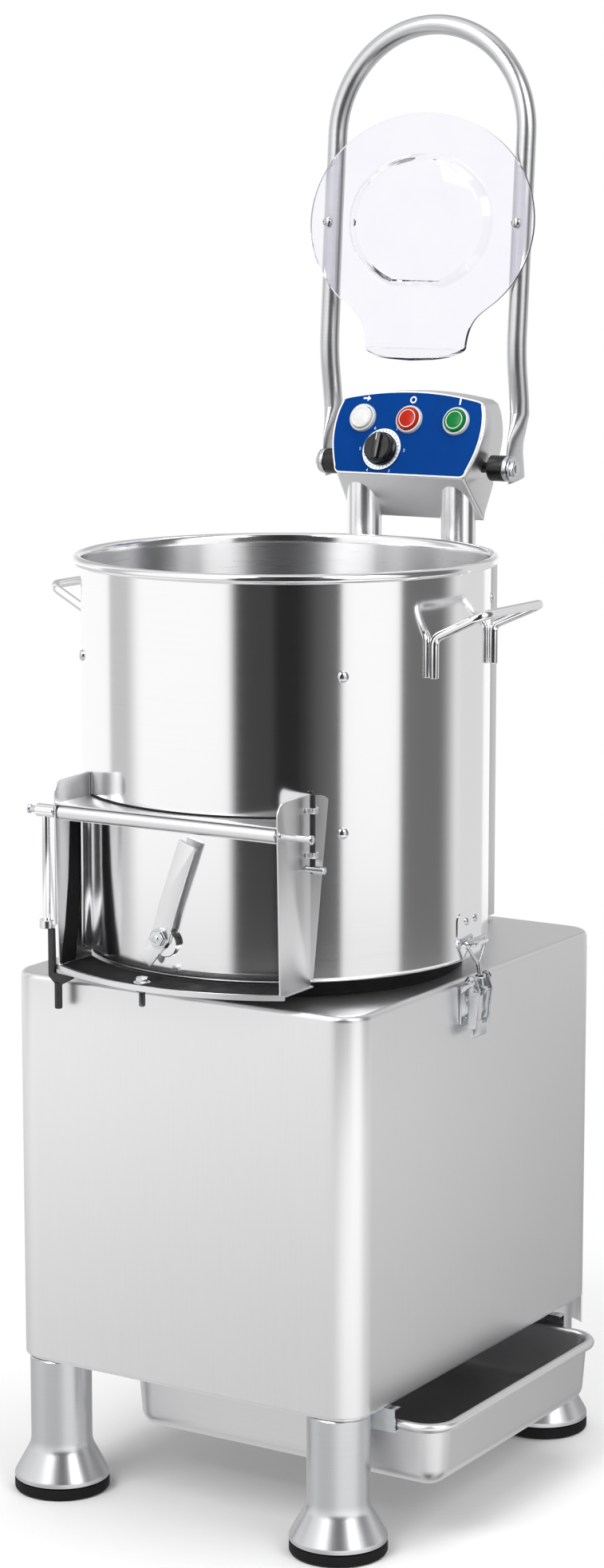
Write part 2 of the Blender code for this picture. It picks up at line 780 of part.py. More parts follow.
def build_gland():
    face = CABINET_BACK + GAP + SHEET + GAP
    inner_face = CABINET_BACK
    nut_end = inner_face - GLAND_NUT
    profile = [(GLAND_BORE, -nut_end + GLAND_NECK), (GLAND_STEM, -nut_end + GLAND_NECK)]
    profile += [(GLAND_STEM, -nut_end), (GLAND_RADIUS, -nut_end), (GLAND_RADIUS, -inner_face)]
    profile += [(GLAND_STEM, -inner_face), (GLAND_STEM, -face), (GLAND_RADIUS, -face)]
    profile += [(GLAND_RADIUS, -face - GLAND_COLLAR)]
    profile += [(GLAND_RADIUS - GLAND_NECK, -face - GLAND_COLLAR - GLAND_NECK)]
    profile += [(GLAND_STEM, -face - GLAND_OUT + GLAND_NECK), (GLAND_STEM - GLAND_NECK, -face - GLAND_OUT)]
    profile += [(GLAND_BORE, -face - GLAND_OUT)]
    place = axes((-GLAND_X, 0, GLAND_Z), (1, 0, 0), (0, 0, 1))
    piece("cable_gland", turned(profile, SMALL, closed=True), BLACK, place)


def base_levels():
    high = CABINET_BOTTOM - GAP
    return high - BASE_THICKNESS, high


def build_base():
    low, high = base_levels()
    outline = [(x, y) for x, y, z in cabinet_ring(BASE_INSET, high)]
    hole = circle(duct_place(), DUCT_RADIUS + NECK_CLEAR, ROUND)
    piece("base_frame", slab([outline, hole], low, high), SATIN)


def build_legs():
    low, high = base_levels()
    top = low - GAP
    foot_top = FOOT_HEIGHT + GAP
    flare = FOOT_RADIUS - LEG_RADIUS
    bore = LEG_RADIUS - LEG_WALL
    profile = [(bore, top - LEG_TOP_PLATE), (bore, LEG_FLARE_START), (bore, foot_top)]
    rise = LEG_FLARE_START - foot_top
    for step in range(FLARE_STEPS + 1):
        share = step / FLARE_STEPS
        profile.append((LEG_RADIUS + flare * (1 - share) ** 2, foot_top + rise * share))
    profile.append((LEG_RADIUS, top))
    plug = bore - RUN
    foot = [(FOOT_RADIUS - FOOT_EDGE, 0), (FOOT_RADIUS, FOOT_EDGE), (FOOT_RADIUS, FOOT_HEIGHT - FOOT_EDGE)]
    foot += [(FOOT_RADIUS - FOOT_EDGE, FOOT_HEIGHT), (plug, FOOT_HEIGHT)]
    foot += [(plug, FOOT_PLUG_HEIGHT - FOOT_EDGE), (plug - FOOT_EDGE, FOOT_PLUG_HEIGHT)]
    side = CABINET_HALF_WIDTH - LEG_SIDE_INSET
    front = -CABINET_FRONT + LEG_FRONT_INSET
    back = CABINET_BACK - LEG_BACK_INSET
    places = {
        "front_left": (-side, front), "front_right": (side, front),
        "back_left": (-side, back), "back_right": (side, back)}
    for corner, place in places.items():
        piece(f"leg_{corner}", turned(profile, ROUND, centre=place), ALUMINIUM)
        piece(f"foot_{corner}", turned(foot, ROUND, centre=place), RUBBER)


def tray_ring(inset, height):
    radius = max(TRAY_CORNER - inset, TRAY_WALL)
    outline = rounded_box(-TRAY_LEFT + inset, TRAY_RIGHT - inset, -TRAY_FRONT + inset, TRAY_BACK - inset,
                          radius)
    return [(x, y, height) for x, y in outline]


def build_tray():
    floor = TRAY_RIM - TRAY_DEPTH
    bead_z = TRAY_RIM - TRAY_BEAD
    inner_top = 2 * TRAY_BEAD
    inner_low = inner_top + TRAY_TAPER
    fillet = TRAY_BOTTOM_FILLET
    profile = [(inner_low + fillet, floor + TRAY_WALL)]
    profile += [(inner_low + fillet + r, floor + TRAY_WALL + fillet + z)
                for r, z in arc((0, 0), fillet, 270, 180, 3)[1:]]
    profile += [(inner_top, bead_z)]
    profile += arc((TRAY_BEAD, bead_z), TRAY_BEAD, 0, 270, 8)[1:]
    outer_top = inner_top - TRAY_WALL
    profile += [(outer_top, bead_z - TRAY_BEAD)]
    profile += [(inner_low + fillet + r, floor + fillet + TRAY_WALL + z)
                for r, z in arc((0, 0), fillet + TRAY_WALL, 180, 270, 3)]
    rings = [tray_ring(inset, height) for inset, height in profile]
    piece("peel_tray", skin(rings), SATIN)


def build_rails():
    low, high = base_levels()
    top = low - GAP
    lip_top = TRAY_RIM - 2 * TRAY_BEAD - GAP
    for name, edge, side in (("front", -TRAY_FRONT, 1), ("back", TRAY_BACK, -1)):
        web = edge - side * RAIL_CLEAR
        outline = [(web, top), (web + side * RAIL_TOP_FLANGE, top),
                   (web + side * RAIL_TOP_FLANGE, top - SHEET)]
        outline += [(web, top - SHEET), (web, lip_top), (web + side * (RAIL_CLEAR + RAIL_LIP), lip_top)]
        outline += [(web + side * (RAIL_CLEAR + RAIL_LIP), lip_top - SHEET),
                    (web - side * SHEET, lip_top - SHEET)]
        outline += [(web - side * SHEET, top)]
        piece(f"tray_rail_{name}", slab([outline], -RAIL_START, TRAY_TRAVEL_END), ZINC, ALONG_X)


def drum_profile():
    inner = DRUM_RADIUS - DRUM_WALL
    floor = DRUM_BOTTOM + DRUM_FLOOR
    bead = DRUM_RADIUS + BEAD_SHIFT
    start = 180 + math.degrees(math.acos(BEAD_SHIFT / BEAD_RADIUS))
    profile = [(DRUM_HOLE, DRUM_BOTTOM)]
    profile += arc((DRUM_RADIUS - DRUM_EDGE, DRUM_BOTTOM + DRUM_EDGE), DRUM_EDGE, 270, 360, 2)
    profile += arc((bead, DRUM_RIM), BEAD_RADIUS, start, 540, 6)
    profile += [(inner, DRUM_RIM - BEAD_RADIUS)]
    profile += [(inner, floor + DRUM_EDGE - DRUM_WALL), (inner - DRUM_EDGE + DRUM_WALL, floor)]
    profile += [(DRUM_HOLE, floor)]
    return profile


def door_cutter(margin):
    opening = box_outline(-OPENING_HALF_WIDTH - margin, OPENING_HALF_WIDTH + margin,
                          OPENING_LOW - margin, OPENING_HIGH + margin)
    return slab([opening], DRUM_RADIUS / 2, DRUM_RADIUS + OVERRUN)


def build_drum():
    drum = piece("drum", turned(drum_profile(), FINE, closed=True), MIRROR)
    cut(drum, door_cutter(0), TOWARDS_FRONT)
    cut(drum, turned([(OUTLET_RADIUS, DRUM_BOTTOM - OVERRUN),
                      (OUTLET_RADIUS, DRUM_BOTTOM + DRUM_FLOOR + OVERRUN)], ROUND, centre=duct_place()))
    latch_angle = 90 + math.degrees(math.asin(LATCH_Y / DRUM_RADIUS))
    for side in (-1, 1):
        middle = side * latch_angle
        plate = sector(CATCH_INSIDE, CATCH_OUTSIDE, middle - CATCH_HALF_ANGLE, middle + CATCH_HALF_ANGLE, 6)
        join(drum, slab([plate], CATCH_LOW, CATCH_HIGH))
        hook = [(HOOK_INNER, HOOK_LOW), (HOOK_LIP_X + HOOK_LIP_THICKNESS, HOOK_LOW)]
        hook += [(HOOK_LIP_X + HOOK_LIP_THICKNESS, HOOK_LIP_TOP), (HOOK_LIP_X, HOOK_LIP_TOP)]
        hook += [(HOOK_LIP_X, HOOK_LEDGE), (HOOK_INNER, HOOK_LEDGE)]
        join(drum, slab([mirrored(hook, side)], -LATCH_Y - HOOK_HALF_WIDTH, -LATCH_Y + HOOK_HALF_WIDTH),
             TOWARDS_FRONT)

    seat = [(SEAT_RADIUS - SEAT_WALL, CABINET_TOP + GAP), (SEAT_RADIUS, CABINET_TOP + GAP)]
    seat += [(SEAT_RADIUS, DRUM_BOTTOM - GAP), (SEAT_RADIUS - SEAT_WALL, DRUM_BOTTOM - GAP)]
    piece("drum_seat", turned(seat, MEDIUM, closed=True), SATIN)

    outer = DRUM_RADIUS - DRUM_WALL - LINER_CLEAR
    low = DRUM_BOTTOM + DRUM_FLOOR + DRUM_EDGE
    top = DRUM_RIM - LINER_DROP
    ring = [(outer - LINER_THICKNESS, low), (outer, low), (outer, top), (outer - LINER_THICKNESS, top)]
    liner = piece("drum_liner", turned(ring, FINE, closed=True), ABRASIVE)
    cut(liner, door_cutter(GAP), TOWARDS_FRONT)


def build_duct():
    low, high = base_levels()
    bottom = TRAY_RIM + DUCT_CLEAR
    inner = DUCT_RADIUS - SHEET
    collar = DUCT_RADIUS + DUCT_COLLAR
    seat = CABINET_TOP + GAP
    profile = [(inner, bottom), (DUCT_RADIUS, bottom), (DUCT_RADIUS, seat), (collar, seat)]
    profile += [(collar, seat + DUCT_COLLAR_HEIGHT), (inner, seat + DUCT_COLLAR_HEIGHT)]
    piece("peel_duct", turned(profile, ROUND, closed=True, centre=duct_place()), SATIN)


def build_spindle():
    shoulder = DISC_UNDERSIDE - GAP
    shaft_low = PULLEY_LOW - SHAFT_BELOW_PULLEY
    shaft_high = DISC_UNDERSIDE + SHAFT_ABOVE_DISC
    profile = [(SHAFT_RADIUS - DRUM_WALL, shaft_low), (SHAFT_RADIUS, shaft_low + DRUM_WALL)]
    profile += [(SHAFT_RADIUS, BEARING_LOWER + BEARING_HEIGHT + GAP)]
    profile += [(SHAFT_SHOULDER, BEARING_LOWER + BEARING_HEIGHT + GAP),
                (SHAFT_SHOULDER, BEARING_UPPER - GAP)]
    profile += [(SHAFT_RADIUS, BEARING_UPPER - GAP), (SHAFT_RADIUS, shoulder)]
    profile += [(SHAFT_END_RADIUS, shoulder), (SHAFT_END_RADIUS, shaft_high)]
    piece("main_shaft", turned(profile, ROUND), ZINC)

    for name, low in (("lower", BEARING_LOWER), ("upper", BEARING_UPPER)):
        inner = SHAFT_RADIUS + GAP
        outer = BEARING_RADIUS - GAP
        race = [(inner, low), (outer, low), (outer, low + BEARING_HEIGHT), (inner, low + BEARING_HEIGHT)]
        piece(f"bearing_{name}", turned(race, ROUND, closed=True), ZINC)

    flange_top = CABINET_TOP - SHEET - GAP
    pocket_top = BEARING_UPPER + BEARING_HEIGHT + GAP
    bottom = BEARING_LOWER - HOUSING_FOOT
    housing = [(BEARING_RADIUS, bottom), (HOUSING_RADIUS, bottom)]
    housing += [(HOUSING_RADIUS, flange_top - HOUSING_FLANGE_THICKNESS)]
    housing += [(HOUSING_FLANGE, flange_top - HOUSING_FLANGE_THICKNESS), (HOUSING_FLANGE, flange_top)]
    neck_top = DISC_UNDERSIDE - NECK_DROP
    housing += [(NECK_RADIUS, flange_top), (NECK_RADIUS, neck_top), (NECK_BORE, neck_top)]
    housing += [(NECK_BORE, pocket_top), (BEARING_RADIUS, pocket_top)]
    piece("bearing_housing", turned(housing, ROUND, closed=True), CAST)

    bore = SHAFT_END_RADIUS + GAP
    skirt_inner = DISC_HUB - DISC_SKIRT
    low = DISC_UNDERSIDE
    top = low + DISC_THICKNESS
    plain = [(bore, DISC_HUB_TOP), (bore, low), (skirt_inner, low), (skirt_inner, low - DISC_SKIRT_DEPTH)]
    plain += [(DISC_HUB, low - DISC_SKIRT_DEPTH), (DISC_HUB, low), (DISC_RADIUS, low),
              (DISC_RADIUS, top - BITE)]
    rings = [[(x, y, height) for x, y in circle((0, 0), radius, FINE)] for radius, height in plain]
    for step in range(DISC_RINGS, -1, -1):
        share = step / DISC_RINGS
        radius = DISC_HUB + GAP + (DISC_RADIUS - DISC_HUB - DISC_EDGE_INSET) * share
        ring = []
        for index, (x, y) in enumerate(circle((0, 0), radius, FINE)):
            lift = 0.5 + 0.5 * math.cos(2 * math.pi * DISC_WAVES * index / FINE)
            ring.append((x, y, top + DISC_WAVE * share * lift ** 3))
        rings.append(ring)
    rings.append([(x, y, DISC_HUB_TOP) for x, y in circle((0, 0), DISC_HUB - DISC_SKIRT, FINE)])
    piece("peeling_disc", skin(rings, closed=True), ABRASIVE)

    seat = DISC_HUB_TOP + GAP
    nut = [(bore, shaft_high + RUN), (bore, seat), (NUT_RADIUS, seat), (NUT_RADIUS, seat + NUT_HEIGHT / 2)]
    nut += [(NUT_CROWN, seat + NUT_HEIGHT)]
    piece("disc_nut", turned(nut, ROUND), ZINC)


def pulley_profile(radius, bore, hub, above, below):
    low = PULLEY_LOW
    high = PULLEY_LOW + PULLEY_WIDTH
    middle = (low + high) / 2
    root = radius - GROOVE_DEPTH
    profile = [(bore, low - below), (hub, low - below), (hub, low), (radius, low),
               (radius, low + GROOVE_LIP)]
    profile += [(root, middle - GROOVE_FLOOR / 2), (root, middle + GROOVE_FLOOR / 2)]
    profile += [(radius, high - GROOVE_LIP), (radius, high), (hub, high), (hub, high + above),
                (bore, high + above)]
    return profile


def build_drive():
    bore = SHAFT_RADIUS + GAP
    big = pulley_profile(PULLEY_RADIUS, bore, PULLEY_HUB, PULLEY_HUB_ABOVE, PULLEY_HUB_BELOW)
    piece("main_pulley", turned(big, MEDIUM, closed=True), CAST)

    small = pulley_profile(MOTOR_PULLEY_RADIUS, MOTOR_SHAFT_RADIUS, MOTOR_HUB, PULLEY_HUB_ABOVE,
                           PULLEY_HUB_BELOW)
    small = small[1:-1] + [(MOTOR_SHAFT_RADIUS, PULLEY_LOW + PULLEY_WIDTH + PULLEY_HUB_ABOVE)]
    small += [(MOTOR_SHAFT_RADIUS, MOTOR_LOW + MOTOR_SHAFT_DEPTH)]
    centre = (0, MOTOR_Y)
    piece("motor_pulley", turned(small, ROUND, centre=centre), ZINC, origin=(0, MOTOR_Y, PULLEY_LOW))

    middle = PULLEY_LOW + PULLEY_WIDTH / 2
    lean = math.degrees(math.asin((PULLEY_RADIUS - MOTOR_PULLEY_RADIUS) / MOTOR_Y))
    rings = []
    for centre_y, radius, start, end, steps in (
            (0, PULLEY_RADIUS, lean, -180 - lean, 30), (MOTOR_Y, MOTOR_PULLEY_RADIUS, 180 - lean, lean,
                                                        12)):
        outer = radius - BELT_SINK
        inner = outer - BELT_THICKNESS
        outside = arc((0, centre_y), outer, start, end, steps)
        inside = arc((0, centre_y), inner, start, end, steps)
        for (ox, oy), (ix, iy) in zip(outside, inside):
            rings.append([(ox, oy, middle - BELT_HALF_TOP), (ox, oy, middle + BELT_HALF_TOP),
                          (ix, iy, middle + BELT_HALF_BOTTOM), (ix, iy, middle - BELT_HALF_BOTTOM)])
    piece("drive_belt", skin(rings, closed=True), RUBBER)


def build_motor():
    bore = MOTOR_SHAFT_RADIUS + RUN
    top = MOTOR_LOW + MOTOR_HEIGHT
    cowl = MOTOR_RADIUS - MOTOR_COWL_STEP
    profile = [(bore, MOTOR_LOW + MOTOR_SHAFT_DEPTH + RUN), (bore, MOTOR_LOW)]
    profile += [(MOTOR_RADIUS - MOTOR_CHAMFER, MOTOR_LOW), (MOTOR_RADIUS, MOTOR_LOW + MOTOR_CHAMFER)]
    profile += [(MOTOR_RADIUS, top - MOTOR_COWL_HEIGHT - MOTOR_COWL_STEP), (cowl, top - MOTOR_COWL_HEIGHT)]
    profile += [(cowl, top - MOTOR_COWL_STEP), (cowl - MOTOR_COWL_STEP, top)]
    motor = piece("motor", turned(profile, ROUND, centre=(0, MOTOR_Y)), CAST)
    low = MOTOR_LOW + CAPACITOR_RISE
    side = (MOTOR_RADIUS + CAPACITOR_RADIUS - BITE, MOTOR_Y)
    join(motor, turned([(CAPACITOR_RADIUS, low), (CAPACITOR_RADIUS, low + CAPACITOR_LENGTH)], SMALL,
                       centre=side))

    top = CABINET_TOP - SHEET - GAP
    shelf_top = MOTOR_LOW - GAP
    shelf_low = shelf_top - BRACKET_SHELF
    outline = [(BRACKET_FRONT, top), (BRACKET_FRONT, top - SHEET), (BRACKET_WEB - SHEET, top - SHEET)]
    outline += [(BRACKET_WEB - SHEET, shelf_low), (BRACKET_BACK, shelf_low), (BRACKET_BACK, shelf_top)]
    outline += [(BRACKET_WEB, shelf_top), (BRACKET_WEB, top)]
    bracket = piece("motor_bracket", slab([outline], -BRACKET_HALF_WIDTH, BRACKET_HALF_WIDTH), ZINC,
                    ALONG_X)
    cut(bracket, turned([(BRACKET_HOLE, shelf_low - OVERRUN), (BRACKET_HOLE, shelf_top + OVERRUN)],
                        ROUND, centre=(0, MOTOR_Y)))


def around_drum(radius, angle, height):
    turn = math.radians(angle)
    return (radius * math.sin(turn), -radius * math.cos(turn), height)


def build_handles():
    reach = DRUM_RADIUS + GAP + HANDLE_ROD
    low = DRUM_RIM - HANDLE_LEG_DROP
    bend = DRUM_RIM - HANDLE_BEND_DROP
    grip_x = DRUM_RADIUS + HANDLE_REACH
    grip_z = DRUM_RIM - HANDLE_GRIP_DROP
    route = [around_drum(reach, HANDLE_FRONT_ANGLE, low), around_drum(reach, HANDLE_FRONT_ANGLE, bend)]
    route += [(grip_x, -HANDLE_GRIP_FRONT, grip_z), (grip_x, HANDLE_GRIP_BACK, grip_z)]
    route += [around_drum(reach, HANDLE_BACK_ANGLE, bend), around_drum(reach, HANDLE_BACK_ANGLE, low)]
    fillets = [HANDLE_LEG_FILLET, HANDLE_GRIP_FILLET, HANDLE_GRIP_FILLET, HANDLE_LEG_FILLET]
    for name, side in (("left", -1), ("right", 1)):
        bent = rounded_route(mirrored(route, side), fillets)
        piece(f"drum_handle_{name}", rod(bent, HANDLE_ROD, WIRE), MIRROR)


def drum_angle(x, radius=DRUM_RADIUS):
    return math.degrees(math.asin(x / radius))


# The flat area between the drum's round wall and a straight front edge
def segment_outline(half_width, radius, front, steps=16):
    angle = drum_angle(half_width, radius)
    return arc((0, 0), radius, -90 + angle, -90 - angle, steps) + [(-half_width, -front),
                                                                   (half_width, -front)]


def build_chute():
    against = DRUM_RADIUS + GAP
    cheek_inner = CHEEK_X - SHEET
    back = math.sqrt(against ** 2 - cheek_inner ** 2)
    low = SHELF_TOP - SHEET
    front_low = DRUM_RADIUS + CHEEK_REACH_LOW
    front_high = DRUM_RADIUS + CHEEK_REACH_HIGH
    round_centre = (-front_high + CHEEK_ROUND, CHEEK_TOP - CHEEK_ROUND)
    outline = [(-back, CHEEK_TOP)] + arc(round_centre, CHEEK_ROUND, 90, 180, CORNER_STEPS)
    outline += [(-front_low, low), (-back, low)]
    chute = piece("chute_frame", slab([outline], cheek_inner, CHEEK_X), SATIN, ALONG_X)
    join(chute, slab([outline], -CHEEK_X, -cheek_inner), ALONG_X)

    start = drum_angle(cheek_inner + GAP, against)
    for side in (-1, 1):
        flange = sector(against, against + SHEET, side * start, side * drum_angle(CHEEK_X + FLANGE_WIDTH),
                        3)
        join(chute, slab([flange], DRUM_BOTTOM + FLANGE_RISE, CHEEK_TOP - GAP))

    half = CHEEK_X + SHELF_MARGIN
    outer_angle = drum_angle(half, SHELF_RADIUS)
    inner_angle = drum_angle(SHELF_INNER_HALF_WIDTH, SHELF_INNER)
    shelf = arc((0, 0), SHELF_RADIUS, outer_angle - 90, -outer_angle - 90, 20)
    shelf += [(-half, -SHELF_SIDE_BACK)]
    shelf += arc((0, 0), SHELF_INNER, -inner_angle - 90, inner_angle - 90, 12)
    shelf += [(half, -SHELF_SIDE_BACK)]
    join(chute, slab([shelf], SHELF_TOP - SHEET - GAP / 2, SHELF_TOP))
    lip_angle = drum_angle(half - BITE, SHELF_RADIUS)
    lip = sector(SHELF_RADIUS - SHEET, SHELF_RADIUS + GAP / 2, -lip_angle, lip_angle, 20)
    join(chute, slab([lip], SHELF_TOP - SHELF_LIP, SHELF_TOP - SHEET / 2))

    hood = segment_outline(cheek_inner + SHEET / 2, against + GAP, front_high - HOOD_SETBACK)
    join(chute, slab([hood], HOOD_LOW, HOOD_LOW + SHEET))

    for lug_low in (LUG_LOWER, LUG_UPPER):
        lug = box_outline(CHEEK_X - SHEET / 2, CHEEK_X + LUG_WIDTH, -PIN_Y - LUG_HALF_DEPTH,
                          -PIN_Y + LUG_HALF_DEPTH)
        join(chute, slab([lug], lug_low, lug_low + LUG_HEIGHT))
    cut(chute, turned([(PIN_RADIUS + GAP, LUG_LOWER - OVERRUN), (PIN_RADIUS + GAP, CHEEK_TOP)],
                      WIRE, centre=(PIN_X, -PIN_Y)))
    hinge_hole = circle((-HINGE_Y, HINGE_Z), HINGE_ROD + GAP, SMALL)
    cut(chute, slab([hinge_hole], -CHEEK_X - OVERRUN, CHEEK_X + OVERRUN), ALONG_X)
    cut(chute, turned([(SHELF_BOLT_RADIUS + GAP, SHELF_TOP - SHELF_LIP - OVERRUN),
                       (SHELF_BOLT_RADIUS + GAP, SHELF_TOP + OVERRUN)], WIRE, centre=(-SHELF_BOLT_X,
                                                                                      -SHELF_BOLT_Y)))


def build_door():
    half = CHEEK_X - SHEET - DOOR_SIDE_CLEAR
    inner = DRUM_RADIUS + DOOR_CLEAR
    outer = inner + SHEET
    hinge = (0, -HINGE_Y, HINGE_Z)
    angle = drum_angle(half, outer)
    flange_top = DOOR_FLANGE_LOW + DOOR_FLANGE_THICKNESS
    plate = sector(inner, outer, -angle, angle, 20)
    door = piece("discharge_door", slab([plate], OPENING_LOW - DOOR_OVERLAP, flange_top - SHEET / 2),
                 MIRROR, origin=hinge)
    flange_half = inner * math.sin(math.radians(angle)) - SHEET / 2
    flange = segment_outline(flange_half, inner + SHEET / 2, HINGE_Y)
    join(door, slab([flange], DOOR_FLANGE_LOW, flange_top))
    barrel = circle((-HINGE_Y, HINGE_Z), HINGE_BARREL, SMALL)
    join(door, slab([barrel], -half, half), ALONG_X)
    boss = circle((-BOSS_X, BOSS_Z), BOSS_RADIUS, ROUND)
    join(door, slab([boss], inner + SHEET / 2, BOSS_FACE), TOWARDS_FRONT)
    bore = circle((-HINGE_Y, HINGE_Z), HINGE_ROD + GAP, SMALL)
    cut(door, slab([bore], -half - OVERRUN, half + OVERRUN), ALONG_X)
    hole = circle(LEVER_PIVOT, BOLT_RADIUS + GAP, SMALL)
    cut(door, slab([hole], BOLT_HOLE_FACE, BOSS_FACE + OVERRUN), TOWARDS_FRONT)

    head = [(HINGE_HEAD, -HINGE_REACH - HINGE_HEAD_LENGTH), (HINGE_HEAD, -HINGE_REACH)]
    head += [(HINGE_ROD, -HINGE_REACH), (HINGE_ROD, HINGE_REACH), (HINGE_HEAD, HINGE_REACH)]
    head += [(HINGE_HEAD, HINGE_REACH + HINGE_HEAD_LENGTH)]
    piece("hinge_rod", turned(head, SMALL), ZINC, axes(hinge, (0, 1, 0), (0, 0, 1)))


def build_lever():
    pivot = LEVER_PIVOT
    inner = BOSS_FACE + RUN
    outer = inner + LEVER_THICKNESS
    points = [LEVER_TIP, pivot, LEVER_BEND, LEVER_END]
    outline = strap_outline(points, [LEVER_TIP_WIDTH, LEVER_WIDTH, LEVER_WIDTH, LEVER_WIDTH], square=True)
    hole = circle(pivot, BOLT_RADIUS + GAP, SMALL)
    origin = (pivot[0], -inner, pivot[1])
    piece("door_lever", slab([outline, hole], inner, outer), ZINC, TOWARDS_FRONT, origin)

    bolt = turned([(BOLT_RADIUS, BOLT_HOLE_FACE + GAP), (BOLT_RADIUS, outer + BITE)], SMALL, centre=pivot)
    item = piece("lever_bolt", bolt, ZINC, TOWARDS_FRONT)
    join(item, slab([hexagon(pivot, BOLT_HEAD_RADIUS)], outer + GAP, outer + GAP + BOLT_HEAD_HEIGHT),
         TOWARDS_FRONT)

    place = (-SHELF_BOLT_X, -SHELF_BOLT_Y)
    seat = SHELF_TOP + GAP
    nut_top = SHELF_TOP - SHEET - GAP
    washer_top = seat + SHELF_BOLT_WASHER_HEIGHT
    shank = turned([(SHELF_BOLT_RADIUS, SHELF_TOP - SHELF_BOLT_LENGTH), (SHELF_BOLT_RADIUS, washer_top)],
                   WIRE, centre=place)
    item = piece("shelf_bolt", shank, ZINC)
    join(item, turned([(SHELF_BOLT_WASHER, seat), (SHELF_BOLT_WASHER, washer_top)], SMALL, centre=place))
    join(item, slab([hexagon(place, SHELF_BOLT_HEAD)], washer_top - BITE,
                    washer_top + SHELF_BOLT_HEAD_HEIGHT))
    join(item, slab([hexagon(place, SHELF_BOLT_HEAD)], nut_top - SHELF_BOLT_NUT_HEIGHT, nut_top))


def build_tie():
    hinge = (0, -HINGE_Y, HINGE_Z)
    sleeve = circle((-HINGE_Y, HINGE_Z), TIE_SLEEVE, SMALL)
    tie = piece("tie_rod", slab([sleeve], -TIE_SLEEVE_OUT, -TIE_SLEEVE_IN), ZINC, ALONG_X, origin=hinge)
    centre = (-TIE_X, -HINGE_Y)
    join(tie, turned([(TIE_ROD, TIE_LOW), (TIE_ROD, HINGE_Z)], WIRE, centre=centre))
    join(tie, turned([(TIE_COLLAR, TIE_LOW - TIE_COLLAR_HEIGHT / 2),
                      (TIE_COLLAR, TIE_LOW + TIE_COLLAR_HEIGHT / 2)],
                     SMALL, centre=centre))
    front = HINGE_Y + TIE_STRAP_THICKNESS / 2
    rear = HINGE_Y - TIE_STRAP_THICKNESS / 2
    bar = box_outline(-TIE_X + BITE, -TIE_X + TIE_ROD + TIE_SIDE_BAR, TIE_LOW, HINGE_Z - TIE_ROD)
    join(tie, slab([bar], rear, front), TOWARDS_FRONT)
    hook = [(-TIE_STRAP_OUT, TIE_STRAP_LOW), (-TIE_HOOK_REACH, TIE_STRAP_LOW + TIE_HOOK_HEIGHT / 2)]
    hook += [(-TIE_HOOK_REACH, TIE_STRAP_LOW + TIE_HOOK_HEIGHT),
             (-TIE_STRAP_IN, TIE_STRAP_LOW + TIE_HOOK_HEIGHT)]
    hook += [(-TIE_STRAP_IN, TIE_LOW), (-TIE_STRAP_OUT, TIE_LOW)]
    join(tie, slab([hook], rear - BITE, front + BITE), TOWARDS_FRONT)
    post_top = TIE_STRAP_LOW + TIE_HOOK_HEIGHT / 2
    join(tie, turned([(TIE_ROD, post_top - TIE_POST_LENGTH), (TIE_ROD, post_top)], WIRE,
                     centre=(-TIE_POST_X, -HINGE_Y)))
    bore = circle((-HINGE_Y, HINGE_Z), HINGE_ROD + GAP, SMALL)
    cut(tie, slab([bore], -TIE_SLEEVE_OUT - OVERRUN, -TIE_SLEEVE_IN + OVERRUN), ALONG_X)

    place = (PIN_X, -PIN_Y)
    pin = piece("lock_pin", turned([(PIN_RADIUS, PIN_LOW), (PIN_RADIUS, PIN_TOP)], WIRE, centre=place),
                ZINC)
    bar = circle((-PIN_Y, PIN_BAR_Z), PIN_BAR_RADIUS, WIRE)
    join(pin, slab([bar], PIN_BAR_INNER, PIN_BAR_INNER + PIN_BAR_LENGTH), ALONG_X)


